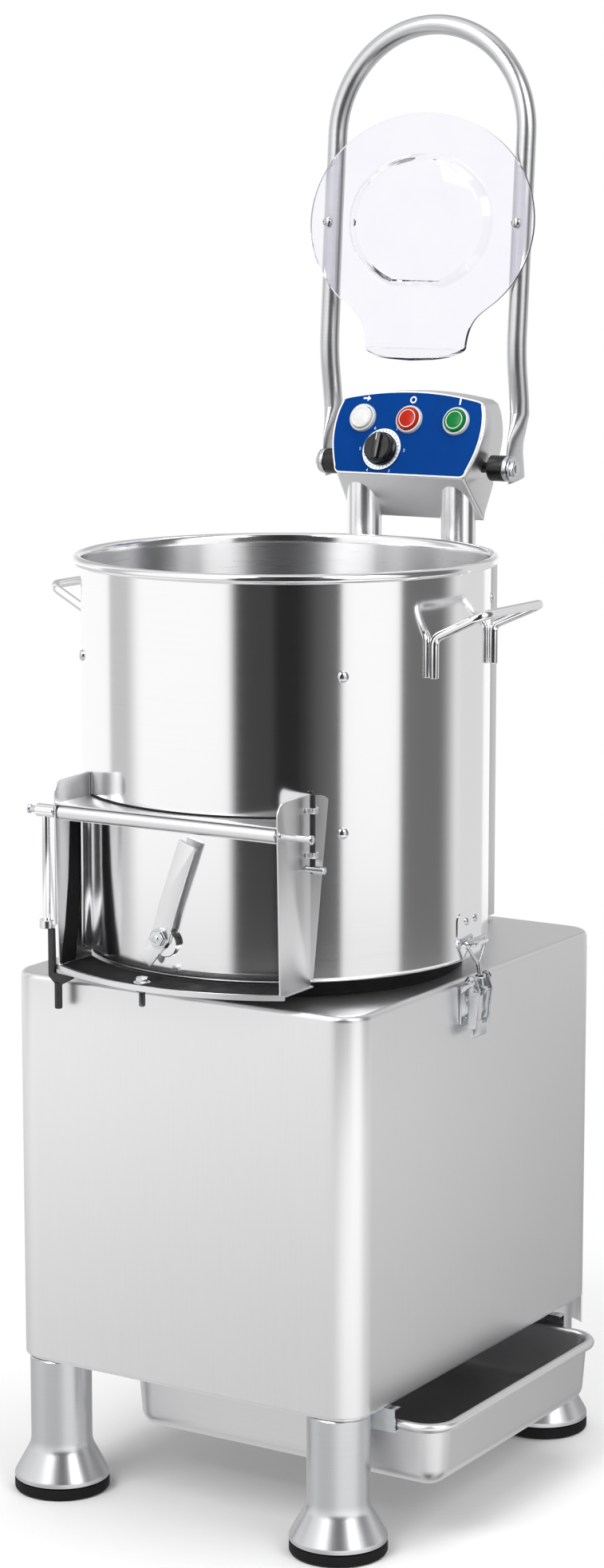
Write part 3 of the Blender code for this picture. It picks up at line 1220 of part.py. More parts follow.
def build_latches():
    pivot_x = CABINET_HALF_WIDTH + LATCH_PIVOT_OUT
    crank = math.radians(LATCH_CRANK_ANGLE)
    crank_x = pivot_x + LATCH_CRANK * math.sin(crank)
    crank_z = LATCH_PIVOT_Z - LATCH_CRANK * math.cos(crank)
    inner = CABINET_HALF_WIDTH + GAP
    outer = inner + LATCH_PLATE
    for name, side in (("left", -1), ("right", 1)):
        def along_y(outlines, low, high):
            outlines = [mirrored(line, side) for line in outlines]
            return slab(outlines, -LATCH_Y + low, -LATCH_Y + high)

        plate = box_outline(inner, outer, LATCH_LOW, LATCH_HIGH)
        base = piece(f"latch_base_{name}", along_y([plate], -LATCH_HALF_WIDTH, LATCH_HALF_WIDTH), ZINC,
                     TOWARDS_FRONT)
        ear_back = outer - BITE
        ear = [(ear_back, LATCH_PIVOT_Z - LATCH_CRANK), (pivot_x, LATCH_PIVOT_Z - LATCH_EAR_RADIUS)]
        ear += arc((pivot_x, LATCH_PIVOT_Z), LATCH_EAR_RADIUS, -60, 120, 5)
        ear += [(ear_back, LATCH_HIGH - BITE)]
        for ear_side in (-1, 1):
            face = ear_side * LATCH_EAR_Y
            join(base, along_y([ear], face - LATCH_PLATE / 2, face + LATCH_PLATE / 2), TOWARDS_FRONT)
            stub = circle((pivot_x, LATCH_PIVOT_Z), LATCH_PIN, WIRE)
            stub_ends = sorted((face, ear_side * LATCH_STUB_END))
            join(base, along_y([stub], *stub_ends), TOWARDS_FRONT)

        low_end = (CABINET_HALF_WIDTH + LATCH_ARM_LOW_OUT, LATCH_ARM_LOW)
        points = [(pivot_x, LATCH_PIVOT_Z), (crank_x, crank_z), low_end]
        width = 2 * LATCH_ARM_RADIUS
        arm = strap_outline(points, [width, width, width])
        hole = circle((pivot_x, LATCH_PIVOT_Z), LATCH_PIN + GAP, WIRE)
        origin = (side * pivot_x, LATCH_Y, LATCH_PIVOT_Z)
        arm_low = LATCH_ARM_Y - LATCH_PLATE / 2
        arm_high = LATCH_ARM_Y + LATCH_PLATE / 2
        lever = piece(f"latch_lever_{name}", along_y([arm, hole], arm_low, arm_high), ZINC, TOWARDS_FRONT,
                      origin)
        join(lever, along_y([arm, hole], -arm_high, -arm_low), TOWARDS_FRONT)
        crank_pin = circle((crank_x, crank_z), LATCH_PIN, WIRE)
        join(lever, along_y([crank_pin], -LATCH_ARM_Y, LATCH_ARM_Y), TOWARDS_FRONT)
        tab = box_outline(low_end[0] - LATCH_PLATE / 2, low_end[0] + LATCH_PLATE / 2, LATCH_TAB_LOW,
                          LATCH_TAB_HIGH)
        join(lever, along_y([tab], -arm_high, arm_high), TOWARDS_FRONT)

        eye = circle((crank_x, crank_z), LATCH_EYE, SMALL)
        eye_hole = circle((crank_x, crank_z), LATCH_PIN + GAP, SMALL)
        origin = (side * crank_x, LATCH_Y, crank_z)
        loop = piece(f"latch_loop_{name}", along_y([eye], -LATCH_EYE_HALF_WIDTH, LATCH_EYE_HALF_WIDTH),
                     ZINC,
                     TOWARDS_FRONT, origin)
        apex_share = (LATCH_APEX_Z - crank_z) / (LATCH_BAR_Z - crank_z)
        apex_x = crank_x + (LATCH_BAR_X - crank_x) * apex_share
        stem_foot = crank_z + LATCH_EYE - BITE
        foot_share = (stem_foot - crank_z) / (LATCH_BAR_Z - crank_z)
        foot_x = crank_x + (LATCH_BAR_X - crank_x) * foot_share
        stem = [(foot_x, LATCH_Y, stem_foot), (apex_x, LATCH_Y, LATCH_APEX_Z)]
        join(loop, rod(mirrored(stem, side), LATCH_STEM, WIRE))
        apex = (apex_x, LATCH_Y, LATCH_APEX_Z - LATCH_STEM)
        for end in (-1, 1):
            corner = (LATCH_BAR_X, LATCH_Y + end * (LATCH_BAR_HALF_WIDTH - LATCH_BAR), LATCH_BAR_Z)
            join(loop, rod(mirrored([apex, corner], side), LATCH_WIRE, WIRE))
        bar = circle((LATCH_BAR_X, LATCH_BAR_Z), LATCH_BAR, WIRE)
        join(loop, along_y([bar], -LATCH_BAR_HALF_WIDTH, LATCH_BAR_HALF_WIDTH), TOWARDS_FRONT)
        cut(loop, along_y([eye_hole], -LATCH_EYE_HALF_WIDTH - OVERRUN, LATCH_EYE_HALF_WIDTH + OVERRUN),
            TOWARDS_FRONT)


def build_columns():
    seat = CABINET_TOP + GAP
    inner = COLUMN_RADIUS - COLUMN_WALL
    profile = [(inner, seat), (COLUMN_FLANGE, seat), (COLUMN_FLANGE, seat + COLUMN_FLANGE_HEIGHT / 2)]
    profile += [(COLUMN_RADIUS, seat + COLUMN_FLANGE_HEIGHT), (COLUMN_RADIUS, COLUMN_TOP),
                (inner, COLUMN_TOP)]
    for name, side in (("left", -1), ("right", 1)):
        place = (side * COLUMN_X, COLUMN_Y)
        piece(f"column_{name}", turned(profile, ROUND, closed=True, centre=place), MIRROR)
    rear = COVER_Y + COVER_DEPTH
    outline = [(-COVER_HALF_WIDTH, rear), (-COVER_HALF_WIDTH, COVER_Y), (COVER_HALF_WIDTH, COVER_Y)]
    outline += [(COVER_HALF_WIDTH, rear), (COVER_HALF_WIDTH - SHEET, rear)]
    outline += [(COVER_HALF_WIDTH - SHEET, COVER_Y + SHEET), (-COVER_HALF_WIDTH + SHEET, COVER_Y + SHEET)]
    outline += [(-COVER_HALF_WIDTH + SHEET, rear)]
    piece("column_cover", slab([outline], seat + COLUMN_FLANGE_HEIGHT + GAP, COVER_TOP), SATIN)


def panel_axes():
    up = (0, BOX_PANEL_HIGH[0] - BOX_PANEL_LOW[0], BOX_PANEL_HIGH[1] - BOX_PANEL_LOW[1])
    return axes((0, *BOX_PANEL_LOW), (1, 0, 0), up)


# The box's outline seen from the front: bulging sides and an arched top, at true height
def front_outline(lowest):
    right = [(half, height) for height, half in BOX_WIDTHS if height >= lowest]
    top_half, shoulder = right[-1]
    arch = []
    for step in range(1, BOX_ARCH_STEPS):
        x = top_half - 2 * top_half * step / BOX_ARCH_STEPS
        arch.append((x, shoulder + (BOX_PANEL_HIGH[1] - shoulder) * (1 - (x / top_half) ** 2)))
    return right + arch + [(-half, height) for half, height in right[::-1]]


# The same outline on the leaning front face
def panel_outline(inset):
    rise = BOX_PANEL_HIGH[1] - BOX_PANEL_LOW[1]
    stretch = math.hypot(rise, BOX_PANEL_HIGH[0] - BOX_PANEL_LOW[0]) / rise
    outline = [(x, (height - BOX_PANEL_LOW[1]) * stretch) for x, height in front_outline(BOX_PANEL_LOW[1])]
    return inset_outline(outline, inset)


def build_control_box():
    side_view = [BOX_PANEL_LOW, BOX_LOWEST, BOX_REAR, BOX_TOP_BACK, BOX_PANEL_HIGH]
    widest = max(half for height, half in BOX_WIDTHS) + OVERRUN
    box = piece("control_box", slab([side_view], -widest, widest), SATIN, ALONG_X)
    limit(box, slab([front_outline(BOX_LOWEST[1])], -BOX_REAR[0] - OVERRUN, -BOX_PANEL_LOW[0] + OVERRUN),
          TOWARDS_FRONT)
    inner = inset_outline(side_view, BOX_WALL)
    shoulder = BOX_WIDTHS[-1][0] - BOX_WALL
    hollow = [(BOX_PANEL_LOW[0] - OVERRUN, inner[0][1]), inner[0], inner[1], inner[2]]
    hollow += [(inner[3][0], shoulder), (BOX_PANEL_LOW[0] - OVERRUN, shoulder)]
    pocket_half = BOX_WIDTHS[1][1] - BOX_WALL
    cut(box, slab([hollow], -pocket_half, pocket_half), ALONG_X)
    for side in (-1, 1):
        hole = [(COLUMN_RADIUS + GAP, BOX_LOWEST[1] - OVERRUN), (COLUMN_RADIUS + GAP, COLUMN_TOP + GAP)]
        cut(box, turned(hole, ROUND, centre=(side * COLUMN_X, COLUMN_Y)))
    pivot_hole = circle((PIVOT_Y, PIVOT_Z), PIVOT_PIN + GAP, SMALL)
    cut(box, slab([pivot_hole], -widest - OVERRUN, widest + OVERRUN), ALONG_X)


def build_panel():
    place = panel_axes()
    buttons = {"start": (BUTTON_X, GREEN), "stop": (0, RED), "out": (-BUTTON_X, WHITE)}
    timer = (-TIMER_X, TIMER_RISE)
    back = GAP
    face = GAP + PANEL_THICKNESS
    panel = piece("panel_plate", slab([panel_outline(PANEL_INSET)], back, face), BLUE, place)
    for name, (offset, material) in buttons.items():
        x = BUTTON_SHIFT + offset
        centre = (x, BUTTON_RISE)
        join(panel, slab([circle(centre, BEZEL_RADIUS, ROUND)], face - BITE, BEZEL_FACE), place)
        hole = circle(centre, BUTTON_RADIUS + BUTTON_CLEAR, ROUND)
        cut(panel, slab([hole], back - OVERRUN, BEZEL_FACE + OVERRUN), place)
        profile = [(BUTTON_RADIUS, -BUTTON_DEPTH), (BUTTON_RADIUS, BUTTON_FACE - BUTTON_EDGE)]
        profile += [(BUTTON_RADIUS - BUTTON_EDGE, BUTTON_FACE)]
        origin = place @ Vector((x, BUTTON_RISE, BUTTON_FACE))
        piece(f"button_{name}", turned(profile, ROUND, centre=centre), material, place, origin)
    cut(panel, slab([circle(timer, KNOB_SHAFT + KNOB_SHAFT_CLEAR, SMALL)], back - OVERRUN, face + OVERRUN),
        place)

    dial_low = face + GAP
    dial_top = dial_low + DIAL_THICKNESS
    rings = [circle(timer, DIAL_RADIUS, ROUND), circle(timer, KNOB_SHAFT + KNOB_SHAFT_CLEAR, SMALL)]
    piece("timer_dial", slab(rings, dial_low, dial_top), DIAL, place)
    low = dial_top + RUN
    high = low + KNOB_HEIGHT
    profile = [(KNOB_SHAFT, -BUTTON_DEPTH), (KNOB_SHAFT, low), (KNOB_RADIUS, low),
               (KNOB_RADIUS, high - KNOB_EDGE)]
    profile += [(KNOB_RADIUS - KNOB_EDGE, high)]
    origin = place @ Vector((*timer, low))
    knob = piece("timer_knob", turned(profile, ROUND, centre=timer), BLACK, place, origin)
    grip = rounded_box(timer[0] - KNOB_GRIP_WIDTH / 2, timer[0] + KNOB_GRIP_WIDTH / 2,
                       timer[1] - KNOB_RADIUS + KNOB_EDGE, timer[1] + KNOB_RADIUS - KNOB_EDGE, KNOB_GRIP_WIDTH / 3, 3)
    join(knob, slab([grip], high - BITE, high + KNOB_GRIP_HEIGHT), place)


def frame_lean():
    return Vector((0, FRAME_TOP[0] - FRAME_KINK[0], FRAME_TOP[1] - FRAME_KINK[1]))


def frame_axes(height):
    lean = frame_lean()
    share = (height - FRAME_KINK[1]) / lean.z
    place = Vector((0, *FRAME_KINK)) + lean * share
    return axes(place, (1, 0, 0), lean)


def build_lid_frame():
    lean = frame_lean()
    straight = lean.length - FRAME_HALF_WIDTH
    unit = lean.normalized()
    kink = Vector((0, *FRAME_KINK))
    across = Vector((FRAME_HALF_WIDTH, 0, 0))
    foot = across + Vector((0, *FRAME_START))
    right = rounded_route([foot, kink + across, kink + across + unit * straight], [FRAME_FILLET])
    left = [Vector((-point.x, point.y, point.z)) for point in right[::-1]]
    centre = kink + unit * straight
    top = []
    for x, rise in arc((0, 0), FRAME_HALF_WIDTH, 0, 180, FRAME_ARC_STEPS)[1:-1]:
        top.append(centre + Vector((x, 0, 0)) + unit * rise)
    pivot = (0, PIVOT_Y, PIVOT_Z)
    frame = piece("lid_frame", rod(right + top + left, FRAME_TUBE, SMALL), MIRROR, origin=pivot)
    lug = arc((PIVOT_Y, PIVOT_Z), FRAME_LUG_RADIUS, 90, 270, 8)
    lug += [(FRAME_LUG_BACK, FRAME_LUG_LOW), (FRAME_LUG_BACK, FRAME_LUG_HIGH),
            (FRAME_START[0], FRAME_LUG_HIGH)]
    hole = circle((PIVOT_Y, PIVOT_Z), PIVOT_PIN + GAP, SMALL)
    box_side = max(half for height, half in BOX_WIDTHS)
    for name, side in (("left", -1), ("right", 1)):
        ends = sorted((side * FRAME_LUG_INNER, side * (FRAME_LUG_INNER + FRAME_LUG_THICKNESS)))
        join(frame, slab([lug, hole], *ends), ALONG_X)
        head_start = FRAME_LUG_INNER + FRAME_LUG_THICKNESS + GAP
        profile = [(PIVOT_PIN, side * PIVOT_START), (PIVOT_PIN, side * (box_side + GAP))]
        profile += [(PIVOT_SPACER, side * (box_side + GAP)), (PIVOT_SPACER, side * PIVOT_SPACER_END)]
        profile += [(PIVOT_PIN, side * PIVOT_SPACER_END), (PIVOT_PIN, side * head_start)]
        profile += [(PIVOT_HEAD, side * head_start), (PIVOT_HEAD,
                                                      side * (head_start + PIVOT_HEAD_LENGTH / 2))]
        profile += [(PIVOT_HEAD - PIVOT_HEAD_CROWN, side * (head_start + PIVOT_HEAD_LENGTH))]
        place = axes((0, PIVOT_Y, PIVOT_Z), (0, 1, 0), (0, 0, 1))
        piece(f"pivot_pin_{name}", turned(profile, SMALL), BLACK, place)


def ellipse_ring(half_width, half_height, level):
    return [(x * half_width, y * half_height, level) for x, y in circle((0, 0), 1, LID_SIDES)]


def build_lid():
    place = frame_axes(LID_CENTRE_Z)
    back = FRAME_TUBE + GAP
    face = back + LID_THICKNESS
    pivot = (0, PIVOT_Y, PIVOT_Z)
    rings = [ellipse_ring(LID_HALF_WIDTH, LID_HALF_HEIGHT, back),
             ellipse_ring(LID_HALF_WIDTH, LID_HALF_HEIGHT, face)]
    lid = piece("lid", skin(rings), CLEAR, place, pivot)
    tab = [(-LID_TAB_HALF_TOP, -LID_HALF_HEIGHT / 2), (-LID_TAB_HALF_TOP, -LID_TAB_ROOT)]
    tab += [(-LID_TAB_HALF_LOW, -LID_TAB_REACH + LID_TAB_LIP), (-LID_TAB_HALF_LOW, -LID_TAB_REACH)]
    tab += [(LID_TAB_HALF_LOW, -LID_TAB_REACH), (LID_TAB_HALF_LOW, -LID_TAB_REACH + LID_TAB_LIP)]
    tab += [(LID_TAB_HALF_TOP, -LID_TAB_ROOT), (LID_TAB_HALF_TOP, -LID_HALF_HEIGHT / 2)]
    join(lid, slab([tab], back + BITE / 2, face - BITE / 2), place)
    lip_axes = place @ Matrix.Translation((0, -LID_TAB_REACH, back + LID_THICKNESS / 2))
    lip_axes = lip_axes @ Matrix.Rotation(math.radians(-LID_TAB_LIP_ANGLE), 4, "X")
    lip = arc((0, 0), LID_TAB_HALF_LOW - BITE, 180, 360, 10)
    lip = [(x, y * LID_TAB_LIP / LID_TAB_HALF_LOW) for x, y in lip]
    lip += [(LID_TAB_HALF_LOW - BITE, BITE), (-LID_TAB_HALF_LOW + BITE, BITE)]
    thin = LID_THICKNESS / 2 - BITE
    join(lid, slab([lip], -thin, thin), lip_axes)

    height_share = LID_HALF_HEIGHT / LID_HALF_WIDTH
    outer = [ellipse_ring(LID_DISH_OUTER, LID_DISH_OUTER * height_share, face - BITE)]
    outer += [ellipse_ring(LID_DISH_INNER, LID_DISH_INNER * height_share, face + LID_DISH_DEPTH)]
    join(lid, skin(outer), place)
    wide = LID_DISH_OUTER - LID_THICKNESS
    narrow = LID_DISH_INNER - LID_THICKNESS
    hollow = [ellipse_ring(wide, wide * height_share, back - OVERRUN),
              ellipse_ring(wide, wide * height_share, back)]
    hollow += [ellipse_ring(narrow, narrow * height_share, back + LID_DISH_DEPTH)]
    cut(lid, skin(hollow), place)


build_cabinet()
build_back_panel()
build_gland()
build_base()
build_legs()
build_tray()
build_rails()
build_drum()
build_duct()
build_spindle()
build_drive()
build_motor()
build_handles()
build_chute()
build_door()
build_lever()
build_tie()
build_latches()
build_columns()
build_control_box()
build_panel()
build_lid_frame()
build_lid()
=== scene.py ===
import math

import bmesh
import bpy
from mathutils import Matrix, Vector
from mathutils.geometry import tessellate_polygon


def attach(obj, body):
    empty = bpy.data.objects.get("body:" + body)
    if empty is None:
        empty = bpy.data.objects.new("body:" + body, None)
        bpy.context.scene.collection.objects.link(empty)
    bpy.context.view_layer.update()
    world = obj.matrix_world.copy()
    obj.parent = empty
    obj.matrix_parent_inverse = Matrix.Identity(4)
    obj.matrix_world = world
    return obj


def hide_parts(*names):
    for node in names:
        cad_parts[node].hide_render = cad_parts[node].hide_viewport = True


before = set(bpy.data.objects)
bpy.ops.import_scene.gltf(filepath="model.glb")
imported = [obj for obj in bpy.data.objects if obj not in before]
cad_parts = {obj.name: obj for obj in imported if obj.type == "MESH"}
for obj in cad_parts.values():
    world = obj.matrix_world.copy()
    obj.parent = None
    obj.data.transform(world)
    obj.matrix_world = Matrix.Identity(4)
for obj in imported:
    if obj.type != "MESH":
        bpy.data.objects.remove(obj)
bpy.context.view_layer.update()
print("frame loaded:", len(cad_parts), "nodes")


# A dictionary of sizes in metres, read as sizes.name
class Sizes(dict):
    __getattr__ = dict.__getitem__


machineY = -0.03155  # every piece is drawn about the drum's own axis, which stands here
gap = 0.0003
sharpAngle = math.radians(25)
bothSides = (("Left", "left", -1), ("Right", "right", 1))


# Colours and nodes

def toLinear(hexColour):
    channels = []
    for start in (1, 3, 5):
        value = int(hexColour[start:start + 2], 16) / 255
        channels.append(value / 12.92 if value <= 0.04045 else ((value + 0.055) / 1.055) ** 2.4)
    return (*channels, 1.0)


# Sockets are linked, other values are set
def feed(tree, node, inputs):
    for key, value in inputs.items():
        if isinstance(value, bpy.types.NodeSocket):
            tree.links.new(value, node.inputs[key])
        else:
            node.inputs[key].default_value = value


def addNode(tree, kind, settings=None, inputs=None):
    node = tree.nodes.new(kind)
    for key, value in (settings or {}).items():
        setattr(node, key, value)
    feed(tree, node, inputs or {})
    return node


def perMetre(millimetres):
    return 1000 / millimetres


# A noise whose grains have these sizes in millimetres along X, Y and Z, or one size for all three
def grain(tree, sizes, detail=3.0):
    reach = sizes if isinstance(sizes, tuple) else (sizes,) * 3
    place = addNode(tree, "ShaderNodeTexCoord").outputs["Object"]
    mapping = addNode(tree, "ShaderNodeMapping",
                      inputs={"Vector": place, "Scale": [perMetre(size) for size in reach]})
    noise = addNode(tree, "ShaderNodeTexNoise", inputs={
        "Vector": mapping.outputs["Vector"], "Scale": 1.0, "Detail": detail, "Roughness": 0.6})
    return noise.outputs["Fac"]


def spread(tree, pattern, low, high, start=0.3, end=0.7, kind="LINEAR"):
    inputs = {"Value": pattern, "From Min": start, "From Max": end, "To Min": low, "To Max": high}
    return addNode(tree, "ShaderNodeMapRange", {"interpolation_type": kind}, inputs).outputs["Result"]


def eased(tree, pattern, start, end, low=0.0, high=1.0):
    return spread(tree, pattern, low, high, start, end, "SMOOTHSTEP")


def tint(tree, pattern, tones, start=0.3, end=0.7):
    ramp = addNode(tree, "ShaderNodeValToRGB", inputs={"Fac": pattern})
    for stop, place, tone in zip(ramp.color_ramp.elements, (start, end), tones):
        stop.position = place
        stop.color = toLinear(tone)
    return ramp.outputs["Color"]


def relief(tree, pattern, millimetres, strength=1.0):
    return addNode(tree, "ShaderNodeBump", inputs={
        "Height": pattern, "Distance": millimetres / 1000, "Strength": strength}).outputs["Normal"]


def mixed(tree, first, second, operation="ADD"):
    return addNode(tree, "ShaderNodeMath", {"operation": operation}, {0: first, 1: second}).outputs["Value"]


# Materials, each named for the real one; grains and relief are in millimetres


def startMaterial(name, colour, metallic, roughness):
    material = bpy.data.materials.new(name)
    material.use_nodes = True
    tree = material.node_tree
    shader = tree.nodes["Principled BSDF"]
    feed(tree, shader, {"Base Color": toLinear(colour), "Metallic": metallic, "Roughness": roughness})
    return material, tree, shader


# Colour and roughness follow one noise, the relief another
def finish(name, slot, tones, gloss, pattern, bumps, depth, metallic=1.0, detail=3.0, extra=None):
    material, tree, shader = startMaterial(name, tones[1], metallic, gloss[0])
    noise = grain(tree, pattern)
    feed(tree, shader, {
        "Base Color": tint(tree, noise, tones), "Roughness": spread(tree, noise, *gloss),
        "Normal": relief(tree, grain(tree, bumps, detail), depth), **(extra or {})})
    return material


# 304 stainless sheet, brushed to a satin face: lines too faint to count, a soft sheen and soft hand marks
satinSizes = Sizes(
    tones=("#EAEAEB", "#EDEDEE"), line=0.9, lineLength=60, marks=140, gloss=(0.33, 0.37),
    lineGloss=(-0.01, 0.01), depth=0.0003)


def satinSteel(name, along):
    sizes = satinSizes
    material, tree, shader = startMaterial(name, sizes.tones[1], 1.0, sizes.gloss[0])
    lines = grain(tree, tuple(sizes.lineLength if axis == along else sizes.line for axis in "xyz"))
    marks = grain(tree, sizes.marks, 2.0)
    wear = mixed(tree, spread(tree, lines, *sizes.lineGloss), spread(tree, marks, *sizes.gloss))
    feed(tree, shader, {
        "Base Color": tint(tree, lines, sizes.tones), "Roughness": wear,
        "Normal": relief(tree, lines, sizes.depth)})
    return material


satin = satinSteel("brushedStainless", "z")
satinFlat = satinSteel("brushedStainlessAcross", "x")

# 304 stainless, polished on a lathe: mirror bright, with level lines that draw reflections out upright
polishedSizes = Sizes(
    bright=("#FAFAFB", "#FCFCFD"), tube=("#D6D7D8", "#DCDDDE"), lines=(90, 90, 1.2), wave=120, depth=0.01)


def polishedSteel(name, tones, gloss, stretch=0.0):
    sizes = polishedSizes
    material = finish(name, "polished_stainless", tones, gloss, sizes.lines, sizes.wave, sizes.depth,
                      detail=1.0)
    if stretch:
        tree = material.node_tree
        upright = addNode(tree, "ShaderNodeCombineXYZ", inputs={"Z": 1.0}).outputs["Vector"]
        feed(tree, tree.nodes["Principled BSDF"], {"Anisotropic": stretch, "Tangent": upright})
    return material


mirror = polishedSteel("polishedStainless", polishedSizes.bright, (0.12, 0.14))
drumInside = polishedSteel("spunStainless", polishedSizes.bright, (0.27, 0.31), 1.0)
tubePolish = polishedSteel("polishedTube", polishedSizes.tube, (0.29, 0.33))
columnPolish = polishedSteel("polishedColumn", polishedSizes.bright, (0.22, 0.25), 0.95)

# Zinc-plated steel, pressed and barrel-plated: slightly uneven, cool grey, soft highlights and tiny pits
plating = {"gloss": (0.15, 0.24), "pattern": 12, "bumps": 0.8, "depth": 0.0015}
zinc = finish("zincPlatedSteel", "zinc_plated_steel", ("#D3D5D8", "#E2E4E6"), **plating)
# The same plating in darker tones is painted shade, for the nut under the shelf
shadedZinc = finish("zincPlatedSteelPaintedShade", "zinc_plated_steel", ("#7C7E82", "#8F9194"), **plating)

# Aluminium, turned and brushed: fine rings round the leg and a soft bright sheen
turning = {"gloss": (0.275, 0.29), "pattern": (80, 80, 0.9), "bumps": (80, 80, 0.9), "depth": 0.0001}
aluminium = finish("brushedAluminium", "satin_aluminium", ("#D3D4D6", "#D6D7D9"), **turning)
dialMetal = finish("anodisedDial", "dial_aluminium", ("#D3DCE5", "#DCE4EC"), **turning)

# Moulded rubber, plastics and paint: a base colour, a little cloudiness and a fine moulded texture.
# Rubber is dull, film and print are flat and matt, and acrylic is glossy under a thin clear coat
mouldedSizes = Sizes(cloud=14, coatRough=0.05)


def moulded(name, slot, tones, gloss, texture, depth, coat=0.0, shine=0.5):
    extra = {"Specular IOR Level": shine, "Coat Weight": coat, "Coat Roughness": mouldedSizes.coatRough}
    return finish(name, slot, tones, gloss, mouldedSizes.cloud, texture, depth, 0.0, extra=extra)


rubber = moulded("mouldedRubber", "black_rubber", ("#0E0E0F", "#161617"), (0.55, 0.75), 1.2, 0.03, shine=0.2)
blackPlastic = moulded("blackAbs", "black_plastic", ("#0C0C0D", "#141416"), (0.22, 0.32), 0.7, 0.006)
blueFilm = moulded("printedPolyesterFilm", "blue_panel", ("#023B85", "#023E8A"), (0.30, 0.36), 0.9, 0.002,
                   shine=0.03)
whiteInk = moulded("whitePrint", "white_plastic", ("#ECEDEF", "#F4F5F6"), (0.35, 0.45), 0.9, 0.003)
lens = ((0.16, 0.24), 0.8, 0.003, 0.08, 0.12)
redPlastic = moulded("redAcrylic", "red_plastic", ("#B02009", "#BA240B"), *lens)
greenPlastic = moulded("greenAcrylic", "green_plastic", ("#027230", "#037A35"), *lens)
whitePlastic = moulded("whiteAcrylic", "white_plastic", ("#DFDFDE", "#E6E6E5"), (0.14, 0.22), 0.8, 0.003, 0.3)
bezelPlastic = moulded("paleAbs", "white_plastic", ("#D0D2D4", "#DDDEE0"), (0.18, 0.26), 0.8, 0.003, 0.3)
darkPaint = moulded("darkEnamel", None, ("#3C3F43", "#4A4D51"), (0.35, 0.5), 1.5, 0.03)
blackSteel = moulded("blackenedSteel", "cast_iron", ("#1C1D1E", "#2A2B2C"), (0.3, 0.42), 0.9, 0.006)

# Silicon carbide grit bonded in resin: coarse dark grains with sparkling faces
gritSizes = Sizes(
    tones=("#5A5B5E", "#1D1E20"), stops=(0.1, 0.7), grain=2.2, gloss=(0.55, 0.95), depth=0.45, strength=0.8)


def bondedGrit(name):
    sizes = gritSizes
    material, tree, shader = startMaterial(name, sizes.tones[0], 0.0, sizes.gloss[1])
    place = addNode(tree, "ShaderNodeTexCoord").outputs["Object"]
    cells = addNode(tree, "ShaderNodeTexVoronoi", inputs={
        "Vector": place, "Scale": perMetre(sizes.grain)}).outputs["Distance"]
    shine = grain(tree, sizes.grain)
    feed(tree, shader, {
        "Base Color": tint(tree, cells, sizes.tones, *sizes.stops),
        "Roughness": spread(tree, shine, *sizes.gloss),
        "Normal": relief(tree, mixed(tree, cells, shine), sizes.depth, sizes.strength)})
    return material


grit = bondedGrit("siliconCarbideGrit")

# Clear polycarbonate, drape-formed: nearly colourless with a cool tint, glossy, slightly hazy from wiping
clearSizes = Sizes(tones=("#F6F5FC", "#F9F8FD"), ior=1.45, gloss=(0.0, 0.03), haze=40)


def clearSheet(name):
    sizes = clearSizes
    material, tree, shader = startMaterial(name, sizes.tones[0], 0.0, sizes.gloss[0])
    haze = grain(tree, sizes.haze)
    feed(tree, shader, {
        "Transmission Weight": 1.0, "IOR": sizes.ior, "Roughness": spread(tree, haze, *sizes.gloss),
        "Base Color": tint(tree, haze, sizes.tones)})
    return material


clear = clearSheet("clearPolycarbonate")
print("materials made:", len(bpy.data.materials))


# Outlines

def arc(centre, radius, start, end, steps):
    points = []
    for step in range(steps + 1):
        angle = math.radians(start + (end - start) * step / steps)
        points.append((centre[0] + radius * math.cos(angle), centre[1] + radius * math.sin(angle)))
    return points


def circle(centre, radius, sides):
    return arc(centre, radius, 0, 360, sides)[:-1]


# With support points beside each corner, so that the flat sides shade flat
def roundedBox(left, right, low, high, radius, steps=6, support=0.001):
    points = []
    corners = (((right - radius, high - radius), 0), ((left + radius, high - radius), 90),
               ((left + radius, low + radius), 180), ((right - radius, low + radius), 270))
    for centre, start in corners:
        curve = arc(centre, radius, start, start + 90, steps)
        turn = math.radians(start)
        first = (curve[0][0] + support * math.sin(turn), curve[0][1] - support * math.cos(turn))
        last = (curve[-1][0] - support * math.cos(turn), curve[-1][1] - support * math.sin(turn))
        points += [first, *curve, last] if support else curve
    return points


def boxOutline(left, right, low, high):
    return [(left, low), (right, low), (right, high), (left, high)]


def drumAngle(x, radius):
    return math.degrees(math.asin(x / radius))


# The flat area between the drum's round wall and a straight front edge
def segmentOutline(halfWidth, radius, front, steps=40):
    angle = drumAngle(halfWidth, radius)
    return arc((0, 0), radius, -90 + angle, -90 - angle, steps) + [(-halfWidth, -front), (halfWidth, -front)]


# The sharp corners of a line become arcs
def roundedRoute(points, fillets, steps=10):
    route = [Vector(points[0])]
    for index in range(1, len(points) - 1):
        here = Vector(points[index])
        back = (Vector(points[index - 1]) - here).normalized()
        ahead = (Vector(points[index + 1]) - here).normalized()
        half = back.angle(ahead) / 2
        reach = fillets[index - 1] / math.tan(half)
        middle = here + (back + ahead).normalized() * fillets[index - 1] / math.sin(half)
        first = here + back * reach - middle
        last = here + ahead * reach - middle
        sweep = first.angle(last)
        for step in range(steps + 1):
            turn = sweep * step / steps
            route.append(middle + (first * math.sin(sweep - turn) + last * math.sin(turn)) / math.sin(sweep))
    route.append(Vector(points[-1]))
    return route


def roundedOutline(points, radii, steps=6):
    closed = [points[-1], *points, points[0]]
    route = roundedRoute([(x, y, 0) for x, y in closed], radii, steps)
    return [(point.x, point.y) for point in route[1:-1]]


